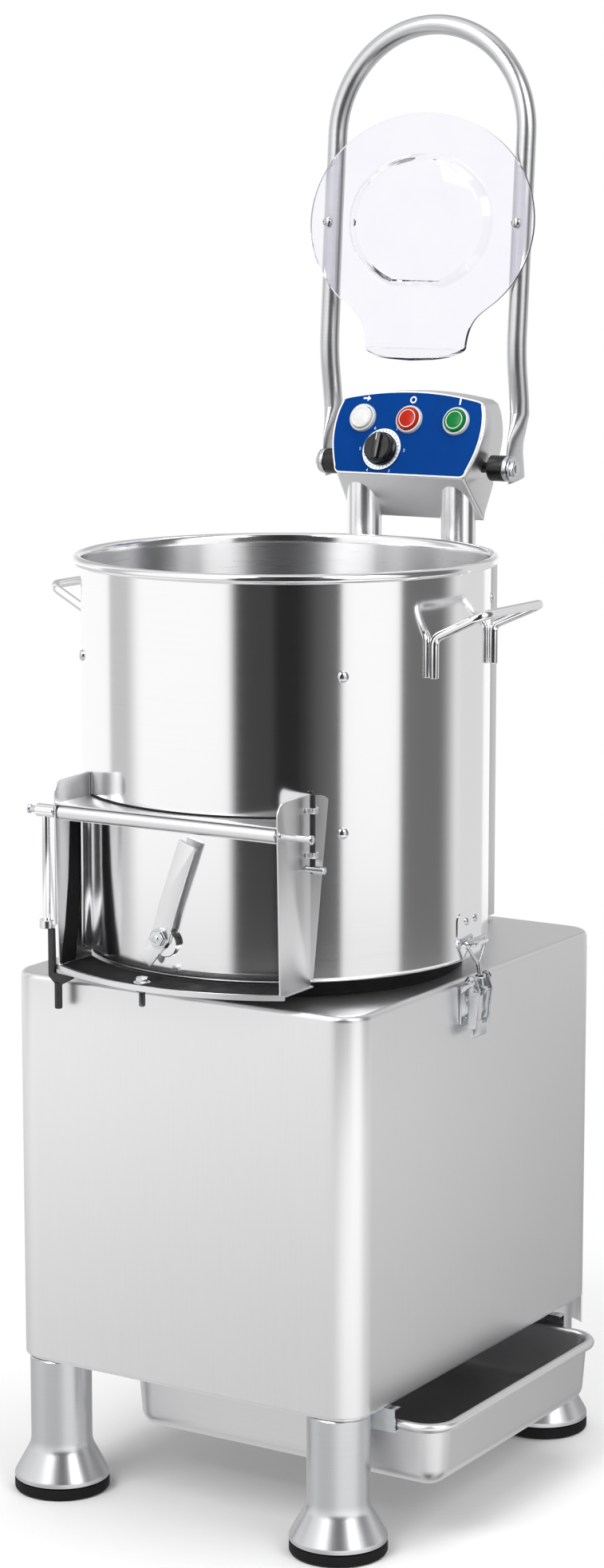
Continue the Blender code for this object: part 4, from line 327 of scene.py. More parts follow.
# A strip of changing width along a line
def strap(points, widths):
    left, right = [], []
    for index, point in enumerate(points):
        before = Vector(points[max(index - 1, 0)])
        after = Vector(points[min(index + 1, len(points) - 1)])
        along = (after - before).normalized()
        side = Vector((-along.y, along.x)) * widths[index] / 2
        left.append(tuple(Vector(point) + side))
        right.append(tuple(Vector(point) - side))
    return right + left[::-1]


# Shapes

def newObject(name, data):
    item = bpy.data.objects.new(name, data)
    bpy.context.scene.collection.objects.link(item)
    return item


def meshFrom(name, shape):
    data = bpy.data.meshes.new(name)
    shape.to_mesh(data)
    shape.free()
    return data


# Side faces between two loops of as many corners
def bridge(mesh, low, high):
    for index in range(len(low)):
        after = (index + 1) % len(low)
        mesh.faces.new((low[index], low[after], high[after], high[index]))


def skin(rings, closed=False):
    mesh = bmesh.new()
    loops = [[mesh.verts.new(point) for point in ring] for ring in rings]
    for low, high in zip(loops, loops[1:] + ([loops[0]] if closed else [])):
        bridge(mesh, low, high)
    if not closed:
        mesh.faces.new(loops[0][::-1])
        mesh.faces.new(loops[-1])
    return mesh


def turned(profile, sides=64, closed=False, centre=(0, 0)):
    rings = [[(x, y, height) for x, y in circle(centre, radius, sides)] for radius, height in profile]
    return skin(rings, closed)


def peg(radius, reach, sides, centre=(0, 0)):
    return turned([(radius, height) for height in reach], sides, centre=centre)


# Profile points as steps out from a radius and up from a level
def around(radius, level, steps):
    return [(radius + out, level + up) for out, up in steps]


# The same points again at the other end, in reverse
def bothEnds(profile):
    return [*profile, *[(radius, -x) for radius, x in profile[::-1]]]


# The first outline is the rim, the others are holes
def slab(outlines, low, high):
    mesh = bmesh.new()
    ends = []
    for level in (low, high):
        ends.append([[mesh.verts.new((u, v, level)) for u, v in line] for line in outlines])
    for bottom, top in zip(*ends):
        bridge(mesh, bottom, top)
    if len(outlines) == 1:
        mesh.faces.new(ends[0][0][::-1])
        mesh.faces.new(ends[1][0])
        return mesh
    triangles = tessellate_polygon([[Vector((u, v, 0)) for u, v in line] for line in outlines])
    for end in ends:
        flat = [vertex for line in end for vertex in line]
        for triangle in triangles:
            mesh.faces.new([flat[index] for index in triangle])
    return mesh


# A bar along a route; each ring is an oval of the given half sizes, the first one along the side given
def bar(route, sizes, sides=24, side=None):
    route = [Vector(point) for point in route]
    if not isinstance(sizes, list):
        sizes = [(sizes, sizes)] * len(route)
    tangents = []
    for index in range(len(route)):
        before = route[max(index - 1, 0)]
        after = route[min(index + 1, len(route) - 1)]
        tangents.append((after - before).normalized())
    across = Vector(side) if side else tangents[0].orthogonal()
    across = (across - tangents[0] * across.dot(tangents[0])).normalized()
    rings = []
    for index, point in enumerate(route):
        if index:
            across = tangents[index - 1].rotation_difference(tangents[index]) @ across
        other = tangents[index].cross(across)
        wide, deep = sizes[index]
        rings.append([tuple(point + across * x * wide + other * y * deep)
                      for x, y in circle((0, 0), 1, sides)])
    return skin(rings)


def axesAt(place, across=(0, 1, 0), up=(0, 0, 1)):
    across = Vector(across).normalized()
    up = Vector(up).normalized()
    matrix = Matrix((across, up, across.cross(up))).transposed().to_4x4()
    matrix.translation = Vector(place)
    return matrix


alongX = axesAt((0, 0, 0))
towardsFront = axesAt((0, 0, 0), (1, 0, 0))


def placed(shape, matrix):
    shape.transform(matrix)
    return shape


def moved(shape, *place):
    return placed(shape, Matrix.Translation(place))


def mirrorX(shape):
    return placed(shape, Matrix.Diagonal((-1, 1, 1, 1)))


# Drawn as X and Z, and thick towards the front
def frontSlab(outlines, low, high):
    return placed(slab(outlines, low, high), towardsFront)


# Rounds every edge sharper than the angle
def softened(shape, width=0.0004, segments=2, angle=50):
    bmesh.ops.recalc_face_normals(shape, faces=shape.faces)
    sharp = [edge for edge in shape.edges
             if len(edge.link_faces) == 2 and edge.calc_face_angle(0) > math.radians(angle)]
    bmesh.ops.bevel(shape, geom=sharp, offset=width, segments=segments, profile=0.5, affect="EDGES",
                    clamp_overlap=True)
    return shape


def asObject(name, shape):
    bmesh.ops.recalc_face_normals(shape, faces=shape.faces)
    return newObject(name, meshFrom(name, shape))


# The object's mesh with its modifiers in it, as a plain mesh
def plainMesh(item):
    graph = bpy.context.evaluated_depsgraph_get()
    return bpy.data.meshes.new_from_object(item.evaluated_get(graph))


def carved(shape, tools):
    item = asObject("carving", shape)
    cutters = [asObject("cutter", tool) for tool in tools]
    for cutter in cutters:
        modifier = item.modifiers.new("carve", "BOOLEAN")
        modifier.operation = "DIFFERENCE"
        modifier.solver = "EXACT"
        modifier.object = cutter
    result = bmesh.new()
    data = plainMesh(item)
    result.from_mesh(data)
    for leftover in (item, *cutters):
        bpy.data.objects.remove(leftover, do_unlink=True)
    bpy.data.meshes.remove(data)
    return result


def joined(shapes):
    whole = bmesh.new()
    for shape in shapes:
        bmesh.ops.recalc_face_normals(shape, faces=shape.faces)
        data = meshFrom("part", shape)
        whole.from_mesh(data)
        bpy.data.meshes.remove(data)
    return whole


# Shading, the body it moves with and the node it stands for
def finished(item, body, stands=None):
    item.data.shade_smooth()
    item.data.set_sharp_from_angle(angle=sharpAngle)
    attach(item, body)
    if stands:
        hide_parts(stands)
    return item


def makePiece(name, shapes, material, body="base", stands=None):
    whole = joined(shapes)
    bmesh.ops.translate(whole, vec=(0, machineY, 0), verts=whole.verts)
    data = meshFrom(name, whole)
    data.materials.append(material)
    return finished(newObject(name, data), body, stands)


def dressNodes(names, material):
    for name in names:
        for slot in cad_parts[name].material_slots:
            slot.material = material


# Geometry node trees: every one takes a mesh and a finish, and ends in a real mesh with that finish
def startTree(name, inputs):
    tree = bpy.data.node_groups.new(name, "GeometryNodeTree")
    for title, kind in (("Geometry", "Geometry"), *inputs, ("Finish", "Material")):
        tree.interface.new_socket(title, in_out="INPUT", socket_type="NodeSocket" + kind)
    tree.interface.new_socket("Geometry", in_out="OUTPUT", socket_type="NodeSocketGeometry")
    return tree, addNode(tree, "NodeGroupInput").outputs


def endTree(tree, geometry, material):
    real = addNode(tree, "GeometryNodeRealizeInstances", inputs={"Geometry": geometry}).outputs["Geometry"]
    dressed = addNode(tree, "GeometryNodeSetMaterial", inputs={"Geometry": real, "Material": material})
    addNode(tree, "NodeGroupOutput", inputs={"Geometry": dressed.outputs["Geometry"]})
    return tree


# Runs a tree on an object and leaves the result as its plain mesh
def grown(item, tree, values):
    modifier = item.modifiers.new(tree.name, "NODES")
    modifier.node_group = tree
    for socket in tree.interface.items_tree:
        if socket.in_out == "INPUT" and socket.name in values:
            modifier[socket.identifier] = values[socket.name]
    result = plainMesh(item)
    item.modifiers.clear()
    item.data = result
    return item


# Sets a head on every point, turned to the point's own aim
def headsTree():
    tree, source = startTree("headsOnPoints", (("Head", "Object"), ("Head Size", "Float")))
    head = addNode(tree, "GeometryNodeObjectInfo", inputs={"Object": source["Head"]})
    aim = addNode(tree, "GeometryNodeInputNamedAttribute", {"data_type": "FLOAT_VECTOR"}, {"Name": "aim"})
    turn = addNode(tree, "FunctionNodeAlignRotationToVector", {"axis": "Z"},
                   {"Vector": aim.outputs["Attribute"]})
    heads = addNode(tree, "GeometryNodeInstanceOnPoints", inputs={
        "Points": source["Geometry"], "Instance": head.outputs["Geometry"],
        "Rotation": turn.outputs["Rotation"], "Scale": source["Head Size"]})
    return endTree(tree, heads.outputs["Instances"], source["Finish"])


heads = headsTree()


# The head is drawn with its foot at the origin and rises along Z; size 1 keeps it as drawn
def repeated(name, headShape, places, aims, material, body="base", size=1.0):
    head = asObject("head", headShape)
    data = bpy.data.meshes.new(name)
    data.from_pydata([(x, y + machineY, z) for x, y, z in places], [], [])
    aim = data.attributes.new("aim", "FLOAT_VECTOR", "POINT")
    for index, direction in enumerate(aims):
        aim.data[index].vector = direction
    item = grown(newObject(name, data), heads, {"Head": head, "Head Size": size, "Finish": material})
    bpy.data.objects.remove(head, do_unlink=True)
    return finished(item, body)


# Small heads for screws and rivets, in shares of their radius and rise
headShares = Sizes(
    foot=0.9, skirt=0.2, tip=0.05, arm=0.62, slit=0.11, slitLow=0.45, slitHigh=2, round=0.08,
    crown=((0.82, 1), (0.6, 1.06), (0.1, 1.08)))
headSizes = Sizes(
    root=-0.0005, washer=(-0.001, 0.0002), washerRound=0.0002, sides=24, washerSides=40, domeSteps=6)


def domedHead(radius, rise):
    shares, steps = headShares, headSizes.domeSteps
    profile = [(radius * shares.foot, headSizes.root), (radius, 0), (radius, rise * shares.skirt)]
    for step in range(1, steps):
        turn = math.radians(90 * step / steps)
        profile.append((radius * math.cos(turn), rise * (shares.skirt + (1 - shares.skirt) * math.sin(turn))))
    return turned(profile + [(radius * shares.tip, rise)], headSizes.sides)


def crossHead(radius, rise):
    arm, width = radius * headShares.arm, radius * headShares.slit
    slits = [slab([boxOutline(-x, x, -y, y)], rise * headShares.slitLow, rise * headShares.slitHigh)
             for x, y in ((arm, width), (width, arm))]
    return carved(domedHead(radius, rise), slits)


def hexHead(radius, rise, washer=0.0):
    shapes = [softened(slab([circle((0, 0), radius, 6)], 0, rise), radius * headShares.round, angle=30)]
    shapes.append(turned([(radius * wide, rise * high) for wide, high in headShares.crown], headSizes.sides))
    if washer:
        disc = peg(washer, headSizes.washer, headSizes.washerSides)
        shapes.append(softened(disc, headSizes.washerRound, 1, 30))
    return joined(shapes)


# Cabinet: one folded box with wide upright corners; its hem is given as inset and rise from the lower edge
cabinet = Sizes(
    halfWidth=0.1875, front=0.186, back=0.276, bottom=0.134, top=0.503, corner=0.030, cornerSteps=20,
    edge=0.005, sheet=0.0015, support=0.001, crown=0.027,
    hem=((0.0015, 0.0015), (0.012, 0.0015), (0.012, 0), (0.0008, 0), (0.0002, 0.0003), (0, 0.001),
         (0, 0.002)),
    service=(-0.150, 0.150, 0.170, 0.470), serviceCorner=0.004, serviceReach=(-0.285, -0.265),
    shaftHole=0.0225, ductHole=0.0228, duct=(0.0905, -0.0905), holeReach=(0.49, 0.51))


def cabinetRing(inset, height):
    outline = roundedBox(inset - cabinet.halfWidth, cabinet.halfWidth - inset, inset - cabinet.front,
                         cabinet.back - inset, cabinet.corner - inset, cabinet.cornerSteps)
    return [(x, y, height) for x, y in outline]


def makeCabinet():
    edge, sheet, top = cabinet.edge, cabinet.sheet, cabinet.top
    inner = edge - sheet
    rings = [cabinetRing(edge + cabinet.support, top - sheet), cabinetRing(edge, top - sheet)]
    rings += [cabinetRing(edge - inner * math.sin(turn), top - sheet - inner * (1 - math.cos(turn)))
              for turn in (math.pi / 6, math.pi / 3, math.pi / 2)]
    rings += [cabinetRing(inset, cabinet.bottom + rise) for inset, rise in cabinet.hem]
    rings.append(cabinetRing(0, top - edge - cabinet.support))
    for step in range(9):
        turn = math.radians(90 * step / 8)
        rings.append(cabinetRing(edge * (1 - math.cos(turn)), top - edge + edge * math.sin(turn)))
    rings += [cabinetRing(edge + cabinet.support, top), cabinetRing(cabinet.crown, top)]
    holes = [frontSlab([roundedBox(*cabinet.service, cabinet.serviceCorner, 3, 0)], *cabinet.serviceReach)]
    for radius, spot in ((cabinet.shaftHole, (0, 0)), (cabinet.ductHole, cabinet.duct)):
        holes.append(peg(radius, cabinet.holeReach, 48, spot))
    makePiece("cabinetShell", [carved(skin(rings), holes)], satin, stands="cabinet_shell")


# The cover behind wraps round both rear corners, with pressed hoods over its vent slots
backPanel = Sizes(
    wrap=45, wrapSteps=16, seam=0.001, reach=(0.101, 0.486), round=0.0003, rows=7, low=0.345, pitch=0.013,
    ventX=0.068, ventHalf=0.055, ventTall=0.005, ventCorner=0.0022, cut=0.01, gland=(-0.120, 0.200),
    glandHole=0.0078, hood=(0.0045, 0.0042), hoodInner=(0.78, 0.72), hoodShift=0.0010, hoodHalf=0.0545,
    hoodSeat=0.0004, hoodDrop=0.0015, screw=(0.0042, 0.0024), rowX=(-0.150, 0, 0.150), rowZ=(0.118, 0.474),
    wingX=0.170, wingZ=(0.20, 0.34))


def makeBackPanel():
    sizes = backPanel
    cornerX, cornerY = cabinet.halfWidth - cabinet.corner, cabinet.back - cabinet.corner
    inner = cabinet.corner + gap
    outer = inner + cabinet.sheet
    wrap, steps = sizes.wrap, sizes.wrapSteps
    outline = arc((cornerX, cornerY), outer, 90 - wrap, 90, steps) + [(cornerX - sizes.seam, cornerY + outer)]
    outline += [(-cornerX + sizes.seam, cornerY + outer)]
    outline += arc((-cornerX, cornerY), outer, 90, 90 + wrap, steps)
    outline += arc((-cornerX, cornerY), inner, 90 + wrap, 90, steps)
    outline += arc((cornerX, cornerY), inner, 90, 90 - wrap, steps)
    face = cabinet.back + gap + cabinet.sheet
    heights = [sizes.low + row * sizes.pitch for row in range(sizes.rows)]
    vents = [(side * sizes.ventX, height) for height in heights for side in (-1, 1)]
    cuts = [roundedBox(x - sizes.ventHalf, x + sizes.ventHalf, z, z + sizes.ventTall, sizes.ventCorner, 4, 0)
            for x, z in vents]
    cuts.append(circle(sizes.gland, sizes.glandHole, 32))
    tools = [frontSlab([cut], -face - sizes.cut, -face + sizes.cut) for cut in cuts]
    cover = softened(carved(slab([outline], *sizes.reach), tools), sizes.round, 1, 60)
    makePiece("backPanel", [cover], satin, stands="back_panel")

    wide, high = sizes.hood
    hood = [(wide + x, z) for x, z in ((-wide * math.cos(turn), high * math.sin(turn))
                                       for turn in (math.radians(30 * step) for step in range(7)))]
    inside = [(sizes.hoodShift + x * sizes.hoodInner[0], z * sizes.hoodInner[1]) for x, z in hood]
    louvre = placed(slab([hood + inside[::-1]], -sizes.hoodHalf, sizes.hoodHalf), axesAt((0, -wide, 0)))
    places = [(x, face - sizes.hoodSeat, z - sizes.hoodDrop) for x, z in vents]
    repeated("ventHoods", louvre, places, [(0, 1, 0)] * len(places), satin)
    spots = [(x, face, z) for x in sizes.rowX for z in sizes.rowZ]
    spots += [(side * sizes.wingX, face - gap, z) for side in (-1, 1) for z in sizes.wingZ]
    repeated("backScrews", crossHead(*sizes.screw), spots, [(0, 1, 0)] * len(spots), zinc)
    print("cabinet made")


makeCabinet()
makeBackPanel()


# Legs with a flared, brushed foot collar on rubber pads
legs = Sizes(
    x=0.154, y=(-0.156, 0.2335), radius=0.029, top=0.1309, sides=96, wall=0.003, seat=0.004, edge=0.0006,
    foot=0.045, footHeight=0.0115, collar=((0, 0.0006), (0, 0.004)), flare=0.054,
    stem=((0, -0.009), (0, 0.020)), fillets=(0.004, 0.024), skirtEnd=0.012, rim=((0, -0.001), (-0.0008, 0)),
    pad=((-0.004, 0), (-0.0008, 0.0006), (0, 0.002), (0, 0.0085), (-0.0006, 0.0105), (-0.003, 0.0115)),
    plug=((0.0254, 0.0115), (0.0254, 0.025), (0.0224, 0.028)))


def makeLegs():
    radius, foot = legs.radius, legs.foot
    bore = radius - legs.wall
    low = legs.footHeight + gap
    corners = around(foot, low, legs.collar) + around(radius, legs.flare, legs.stem)
    skirt = roundedRoute([(x, z, 0) for x, z in corners], legs.fillets, 12)
    profile = [(bore, legs.top - legs.seat), (bore, low), (foot - legs.edge, low)]
    profile += [(point.x, point.y) for point in skirt[:-1]]
    profile += [(radius, legs.flare + legs.skirtEnd), *around(radius, legs.top, legs.rim)]
    padProfile = [*around(foot, 0, legs.pad), *legs.plug]
    for row, y in zip(("front", "back"), legs.y):
        for title, column, side in bothSides:
            place = (side * legs.x, y)
            name, corner = row.capitalize() + title, f"{row}_{column}"
            leg = turned(profile, legs.sides, centre=place)
            makePiece("leg" + name, [leg], aluminium, stands="leg_" + corner)
            pad = turned(padProfile, legs.sides, centre=place)
            makePiece("foot" + name, [pad], rubber, stands="foot_" + corner)
    print("legs made")


makeLegs()


# Peel tray with a rolled rim
tray = Sizes(
    left=0.112, right=0.242, front=0.123, back=0.199, rim=0.120, depth=0.064, corner=0.032,
    cornerLeast=0.0015, bead=0.0045, wall=0.0012, taper=0.003, fillet=0.016, floorEdge=0.012, seam=0.0002,
    seamDrop=0.001)


def makeTray():
    floor = tray.rim - tray.depth
    bead, fillet, wall = tray.bead, tray.fillet, tray.wall
    beadZ = tray.rim - bead
    top = 2 * bead
    low = top + tray.taper + fillet
    profile = [(low + tray.floorEdge, floor + wall)]
    profile += [(low + r, floor + wall + fillet + z) for r, z in arc((0, 0), fillet, 270, 180, 8)]
    profile += [(top + tray.seam, beadZ - tray.seamDrop), (top, beadZ)]
    profile += arc((bead, beadZ), bead, 0, 270, 18)[1:]
    profile += [(top - wall, beadZ - bead)]
    profile += [(low + r, floor + fillet + wall + z) for r, z in arc((0, 0), fillet + wall, 180, 270, 8)]
    profile += [(low + tray.floorEdge, floor)]
    rings = []
    for inset, height in profile:
        outline = roundedBox(inset - tray.left, tray.right - inset, inset - tray.front, tray.back - inset,
                             max(tray.corner - inset, tray.cornerLeast), 12)
        rings.append([(x, y, height) for x, y in outline])
    makePiece("peelTray", [skin(rings)], satinFlat, "tray", "peel_tray")
    dressNodes(["tray_rail_front", "tray_rail_back"], zinc)
    dressNodes(["base_frame", "peel_duct"], satin)
    print("tray made")


makeTray()


# Drum: a polished round wall with a rolled rim and a door opening
drum = Sizes(
    radius=0.190, wall=0.0015, bottom=0.520, rim=0.882, edge=0.004, hole=0.026, bead=0.0045,
    beadShift=0.0035, sides=180, floor=0.002, floorEdge=0.0025, opening=(-0.112, 0.112, 0.530, 0.652),
    openingReach=(0.095, 0.196), ductHole=0.024, ductReach=(0.514, 0.528), support=0.001, seam=0.0004,
    seamAzimuth=(178.9, 181.1), seamLow=0.006, seamHigh=0.003, seamCorner=0.0003, skinDepth=0.0002,
    seat=(0.158, 0.166, 0.5033, 0.5197), linerGap=0.0004,
    liner=((-0.003, 0.526), (0, 0.526), (0, 0.806), (-0.0005, 0.8066), (-0.0025, 0.8066), (-0.003, 0.806)),
    screw=(0.0052, 0.0036), screwRows=(0.655, 0.795), screwAzimuths=(-132, -90, -47.6, 47.6, 132),
    screwsBehind=((180, 0.655), (180, 0.795), (121, 0.845), (-121, 0.845)))

# The latches' catch plates and hooks on the drum
catches = Sizes(
    y=0.0166, plate=(0.1896, 0.1909), halfAngle=7.8, reach=(0.5335, 0.566), corner=0.007,
    hook=((0.1895, 0.5345), (0.2004, 0.5345), (0.2016, 0.5357), (0.2016, 0.5386), (0.2000, 0.5386),
          (0.2000, 0.5375), (0.1895, 0.5375)),
    hookReach=(-0.0296, -0.0036), hookRound=0.0003, rivet=(0.0036, 0.0020), rivetAngle=2.9, rivetZ=0.5575,
    rivetSeat=0.1908)


def openingTool(margin):
    left, right, low, high = drum.opening
    outline = boxOutline(left - margin, right + margin, low - margin, high + margin)
    return frontSlab([outline], *drum.openingReach)


def outwards(azimuth):
    turn = math.radians(azimuth)
    return (math.sin(turn), -math.cos(turn), 0)


def onDrum(radius, azimuth, height):
    x, y, level = outwards(azimuth)
    return (radius * x, radius * y, height)


# A curved plate on the drum with rounded corners
def curvedPlate(inner, outer, start, end, low, high, corner, steps=28):
    rings = []
    length = math.radians(abs(end - start)) * outer
    for step in range(steps + 1):
        share = 0.5 - 0.5 * math.cos(math.pi * step / steps)
        edge = min(share, 1 - share) * length
        drop = corner - math.sqrt(max(corner ** 2 - max(corner - edge, 0) ** 2, 0))
        azimuth = start + (end - start) * share
        rings.append([onDrum(inner, azimuth, low + drop), onDrum(outer, azimuth, low + drop),
                      onDrum(outer, azimuth, high - drop), onDrum(inner, azimuth, high - drop)])
    return skin(rings)


def makeDrum():
    radius, bottom, rim, edge = drum.radius, drum.bottom, drum.rim, drum.edge
    inner = radius - drum.wall
    bead = radius + drum.beadShift
    start = 180 + math.degrees(math.acos(drum.beadShift / drum.bead))
    profile = [(drum.hole, bottom), *arc((radius - edge, bottom + edge), edge, 270, 360, 8)]
    profile += [(radius, bottom + edge + drum.support), *arc((bead, rim), drum.bead, start, 540, 20)]
    profile += [(inner, rim - drum.bead), (inner, rim - drum.bead - drum.support)]
    profile += [(inner, bottom + edge + drum.support / 2), (inner - drum.floorEdge, bottom + drum.floor)]
    profile += [(drum.hole, bottom + drum.floor)]
    shell = carved(turned(profile, drum.sides, closed=True),
                   [openingTool(0), peg(drum.ductHole, drum.ductReach, 48, cabinet.duct)])
    seam = curvedPlate(radius - drum.seam, radius + drum.seam, *drum.seamAzimuth, bottom + drum.seamLow,
                       rim - drum.seamHigh, drum.seamCorner, 8)
    shapes = [shell, seam]
    latchAzimuth = 90 + drumAngle(catches.y, radius)
    for side in (-1, 1):
        middle = side * latchAzimuth
        shapes.append(curvedPlate(*catches.plate, middle - catches.halfAngle, middle + catches.halfAngle,
                                  *catches.reach, catches.corner))
        tab = frontSlab([[(side * x, z) for x, z in catches.hook]], *catches.hookReach)
        shapes.append(softened(tab, catches.hookRound, 2, 40))
    wall = makePiece("drumWall", shapes, mirror, stands="drum")
    wall.data.materials.append(drumInside)
    for face in wall.data.polygons:
        middle = face.center
        reach = math.hypot(middle.x, middle.y - machineY)
        if reach < inner + drum.skinDepth and middle.z > bottom + drum.support:
            face.material_index = 1

    makePiece("drumSeat", [turned(boxOutline(*drum.seat), 128, closed=True)], rubber, stands="drum_seat")
    ring = turned(around(inner - drum.linerGap, 0, drum.liner), drum.sides, closed=True)
    makePiece("drumLiner", [carved(ring, [openingTool(gap)])], grit, stands="drum_liner")

    screws = [(azimuth, height) for azimuth in drum.screwAzimuths for height in drum.screwRows]
    screws += drum.screwsBehind
    rivets = [(side * (latchAzimuth + offset), catches.rivetZ) for side in (-1, 1)
              for offset in (-catches.rivetAngle, catches.rivetAngle)]
    for name, head, seat, spots in (("linerScrews", drum.screw, radius - gap, screws),
                                    ("catchRivets", catches.rivet, catches.rivetSeat, rivets)):
        repeated(name, domedHead(*head), [onDrum(seat, *spot) for spot in spots],
                 [outwards(spot[0]) for spot in spots], zinc)
    print("drum made")


makeDrum()


# The abrasive disc's waves follow a rule, so one tree lifts them from a flat ring mesh
disc = Sizes(
    radius=0.182, hub=0.031, top=0.539, wave=0.007, waves=3.0, steepness=3.0, rings=24, sides=144,
    under=((0.0103, 0.548), (0.0103, 0.532), (0.0255, 0.532), (0.0255, 0.526), (0.031, 0.526),
           (0.031, 0.532), (0.182, 0.532), (0.182, 0.5378)),
    edge=0.001, shoulder=((0.029, 0.542), (0.0255, 0.548)),
    nut=((0.0103, 0.5626), (0.0103, 0.5483), (0.0196, 0.5483), (0.020, 0.549), (0.020, 0.560)),
    nutDome=0.0143, nutSteps=9)


def waveTree():
    tree, source = startTree("discWaves", [(name, "Float") for name in (
        "Wave Height", "Waves", "Hub Radius", "Disc Radius")])
    place = addNode(tree, "GeometryNodeInputPosition").outputs["Position"]
    axis = addNode(tree, "ShaderNodeVectorMath", {"operation": "ADD"}, {0: place, 1: (0, -machineY, 0)})
    flat = addNode(tree, "ShaderNodeVectorMath", {"operation": "MULTIPLY"},
                   {0: axis.outputs["Vector"], 1: (1, 1, 0)}).outputs["Vector"]
    reach = addNode(tree, "ShaderNodeVectorMath", {"operation": "LENGTH"}, {0: flat}).outputs["Value"]
    parts = addNode(tree, "ShaderNodeSeparateXYZ", inputs={"Vector": flat}).outputs
    turn = mixed(tree, parts["Y"], parts["X"], "ARCTAN2")
    swing = mixed(tree, mixed(tree, turn, source["Waves"], "MULTIPLY"), 0.0, "COSINE")
    lift = mixed(tree, mixed(tree, mixed(tree, swing, 0.5, "MULTIPLY"), 0.5), disc.steepness, "POWER")
    share = spread(tree, reach, 0.0, 1.0, source["Hub Radius"], source["Disc Radius"])
    height = mixed(tree, mixed(tree, lift, share, "MULTIPLY"), source["Wave Height"], "MULTIPLY")
    upper = addNode(tree, "GeometryNodeInputNamedAttribute", {"data_type": "FLOAT"}, {"Name": "upper"})
    offset = addNode(tree, "ShaderNodeCombineXYZ", inputs={
        "Z": mixed(tree, height, upper.outputs["Attribute"], "MULTIPLY")}).outputs["Vector"]
    lifted = addNode(tree, "GeometryNodeSetPosition",
                     inputs={"Geometry": source["Geometry"], "Offset": offset})
    return endTree(tree, lifted.outputs["Geometry"], source["Finish"])


def makeDisc():
    hub = disc.hub
    profile = [(radius, height, 0.0) for radius, height in disc.under]
    for step in range(disc.rings, -1, -1):
        profile.append((hub + (disc.radius - disc.edge - hub) * (step / disc.rings), disc.top, 1.0))
    profile += [(radius, height, 0.0) for radius, height in disc.shoulder]
    shape = turned([(radius, height) for radius, height, upper in profile], disc.sides, closed=True)
    bmesh.ops.translate(shape, vec=(0, machineY, 0), verts=shape.verts)
    item = asObject("peelingDisc", shape)
    upper = item.data.attributes.new("upper", "FLOAT", "POINT")
    for index, (radius, height, value) in enumerate(profile):
        for side in range(disc.sides):
            upper.data[index * disc.sides + side].value = value
    grown(item, waveTree(), {"Wave Height": disc.wave, "Waves": disc.waves, "Hub Radius": hub,
                             "Disc Radius": disc.radius, "Finish": grit})
    finished(item, "spindle", "peeling_disc")

    nut = list(disc.nut)
    radius, height = nut[-1]
    for step in range(1, disc.nutSteps):
        turn = math.radians(90 * step / disc.nutSteps)
        nut.append((radius * math.cos(turn), height + disc.nutDome * math.sin(turn)))
    makePiece("discNut", [turned(nut, 64)], zinc, "spindle", "disc_nut")
    dressNodes(["main_shaft", "bearing_upper", "bearing_lower", "motor_pulley", "motor_bracket"], zinc)
    dressNodes(["main_pulley", "bearing_housing", "motor"], darkPaint)
    dressNodes(["drive_belt"], rubber)
    print("disc made")


makeDisc()


# Bent rod handles on the drum's sides
handles = Sizes(
    rod=0.0042, front=75, back=111, low=0.788, bend=0.824,
    grip=((0.235, -0.046, 0.847), (0.235, 0.066, 0.847)), fillets=(0.010, 0.013, 0.013, 0.010),
    round=0.0008)


def makeHandles():
    reach = drum.radius + gap + handles.rod
    front = [onDrum(reach, handles.front, height) for height in (handles.low, handles.bend)]
    back = [onDrum(reach, handles.back, height) for height in (handles.bend, handles.low)]
    bent = roundedRoute([*front, *handles.grip, *back], handles.fillets, 14)
    for title, name, side in bothSides:
        rod = softened(bar(bent, handles.rod, 32), handles.round, 3)
        shape = mirrorX(rod) if side < 0 else rod
        makePiece("drumHandle" + title, [shape], mirror, stands="drum_handle_" + name)
    print("handles made")


makeHandles()


# Discharge chute: two cheeks, a shelf under the door and a hood over it
chute = Sizes(
    cheek=0.120, sheet=0.0015, frontLow=0.1995, frontHigh=0.2040, top=0.690, round=0.012, cheekRise=0.0015,
    cheekArc=(88, 180), flange=0.131, flangeFoot=0.524, flangeDrop=0.004, flangeBow=0.003, footShare=0.2,
    flangeSteps=16, fold=0.0009, foldRod=0.0011, foldLow=0.5245, foldDrop=0.001, shelf=0.233,
    shelfInner=0.172, shelfInnerHalf=0.100, shelfWing=0.0035, shelfBack=0.150, shelfTop=0.519,
    lip=(-0.0012, 0.0003), lipReach=(-0.0045, 0.0004), lipCorner=0.001, hood=0.6680, hoodSide=0.0004,
    hoodFront=0.001, lugRows=(0.636, 0.676), lugSink=0.0005, lug=(0.130, -0.160, -0.150), lugCorner=0.0032,
    lugHole=0.0028, lugTall=0.005)
shelfBolt = Sizes(
    place=(-0.012, -0.222), hole=0.0033, reach=(0.5, 0.53), head=(0.0060, 0.0044, 0.0078), headZ=0.5203,
    nut=(0.0060, 0.0056), nutZ=0.5172, tip=((0.0022, 0.4980), (0.003, 0.4990)),
    thread=((0.003, 0.4992), (0.00265, 0.4996)), turns=16, pitch=0.0008,
    shank=((0.003, 0.5120), (0.003, 0.5195)))
hinge = Sizes(
    place=(0, -0.198, 0.661),
    head=((0.0028, -0.1526), (0.0038, -0.1522), (0.0042, -0.1517), (0.0042, -0.1504), (0.0038, -0.150),
          (0.003, -0.150)))
lockPin = Sizes(
    place=(0.1255, -0.155), pin=((0.0018, 0.622), (0.0025, 0.6228), (0.0025, 0.6922), (0.0018, 0.693)),
    handleZ=0.6255, handle=((0.0026, 0.1190), (0.0034, 0.1197), (0.0034, 0.1377), (0.0026, 0.1384)))


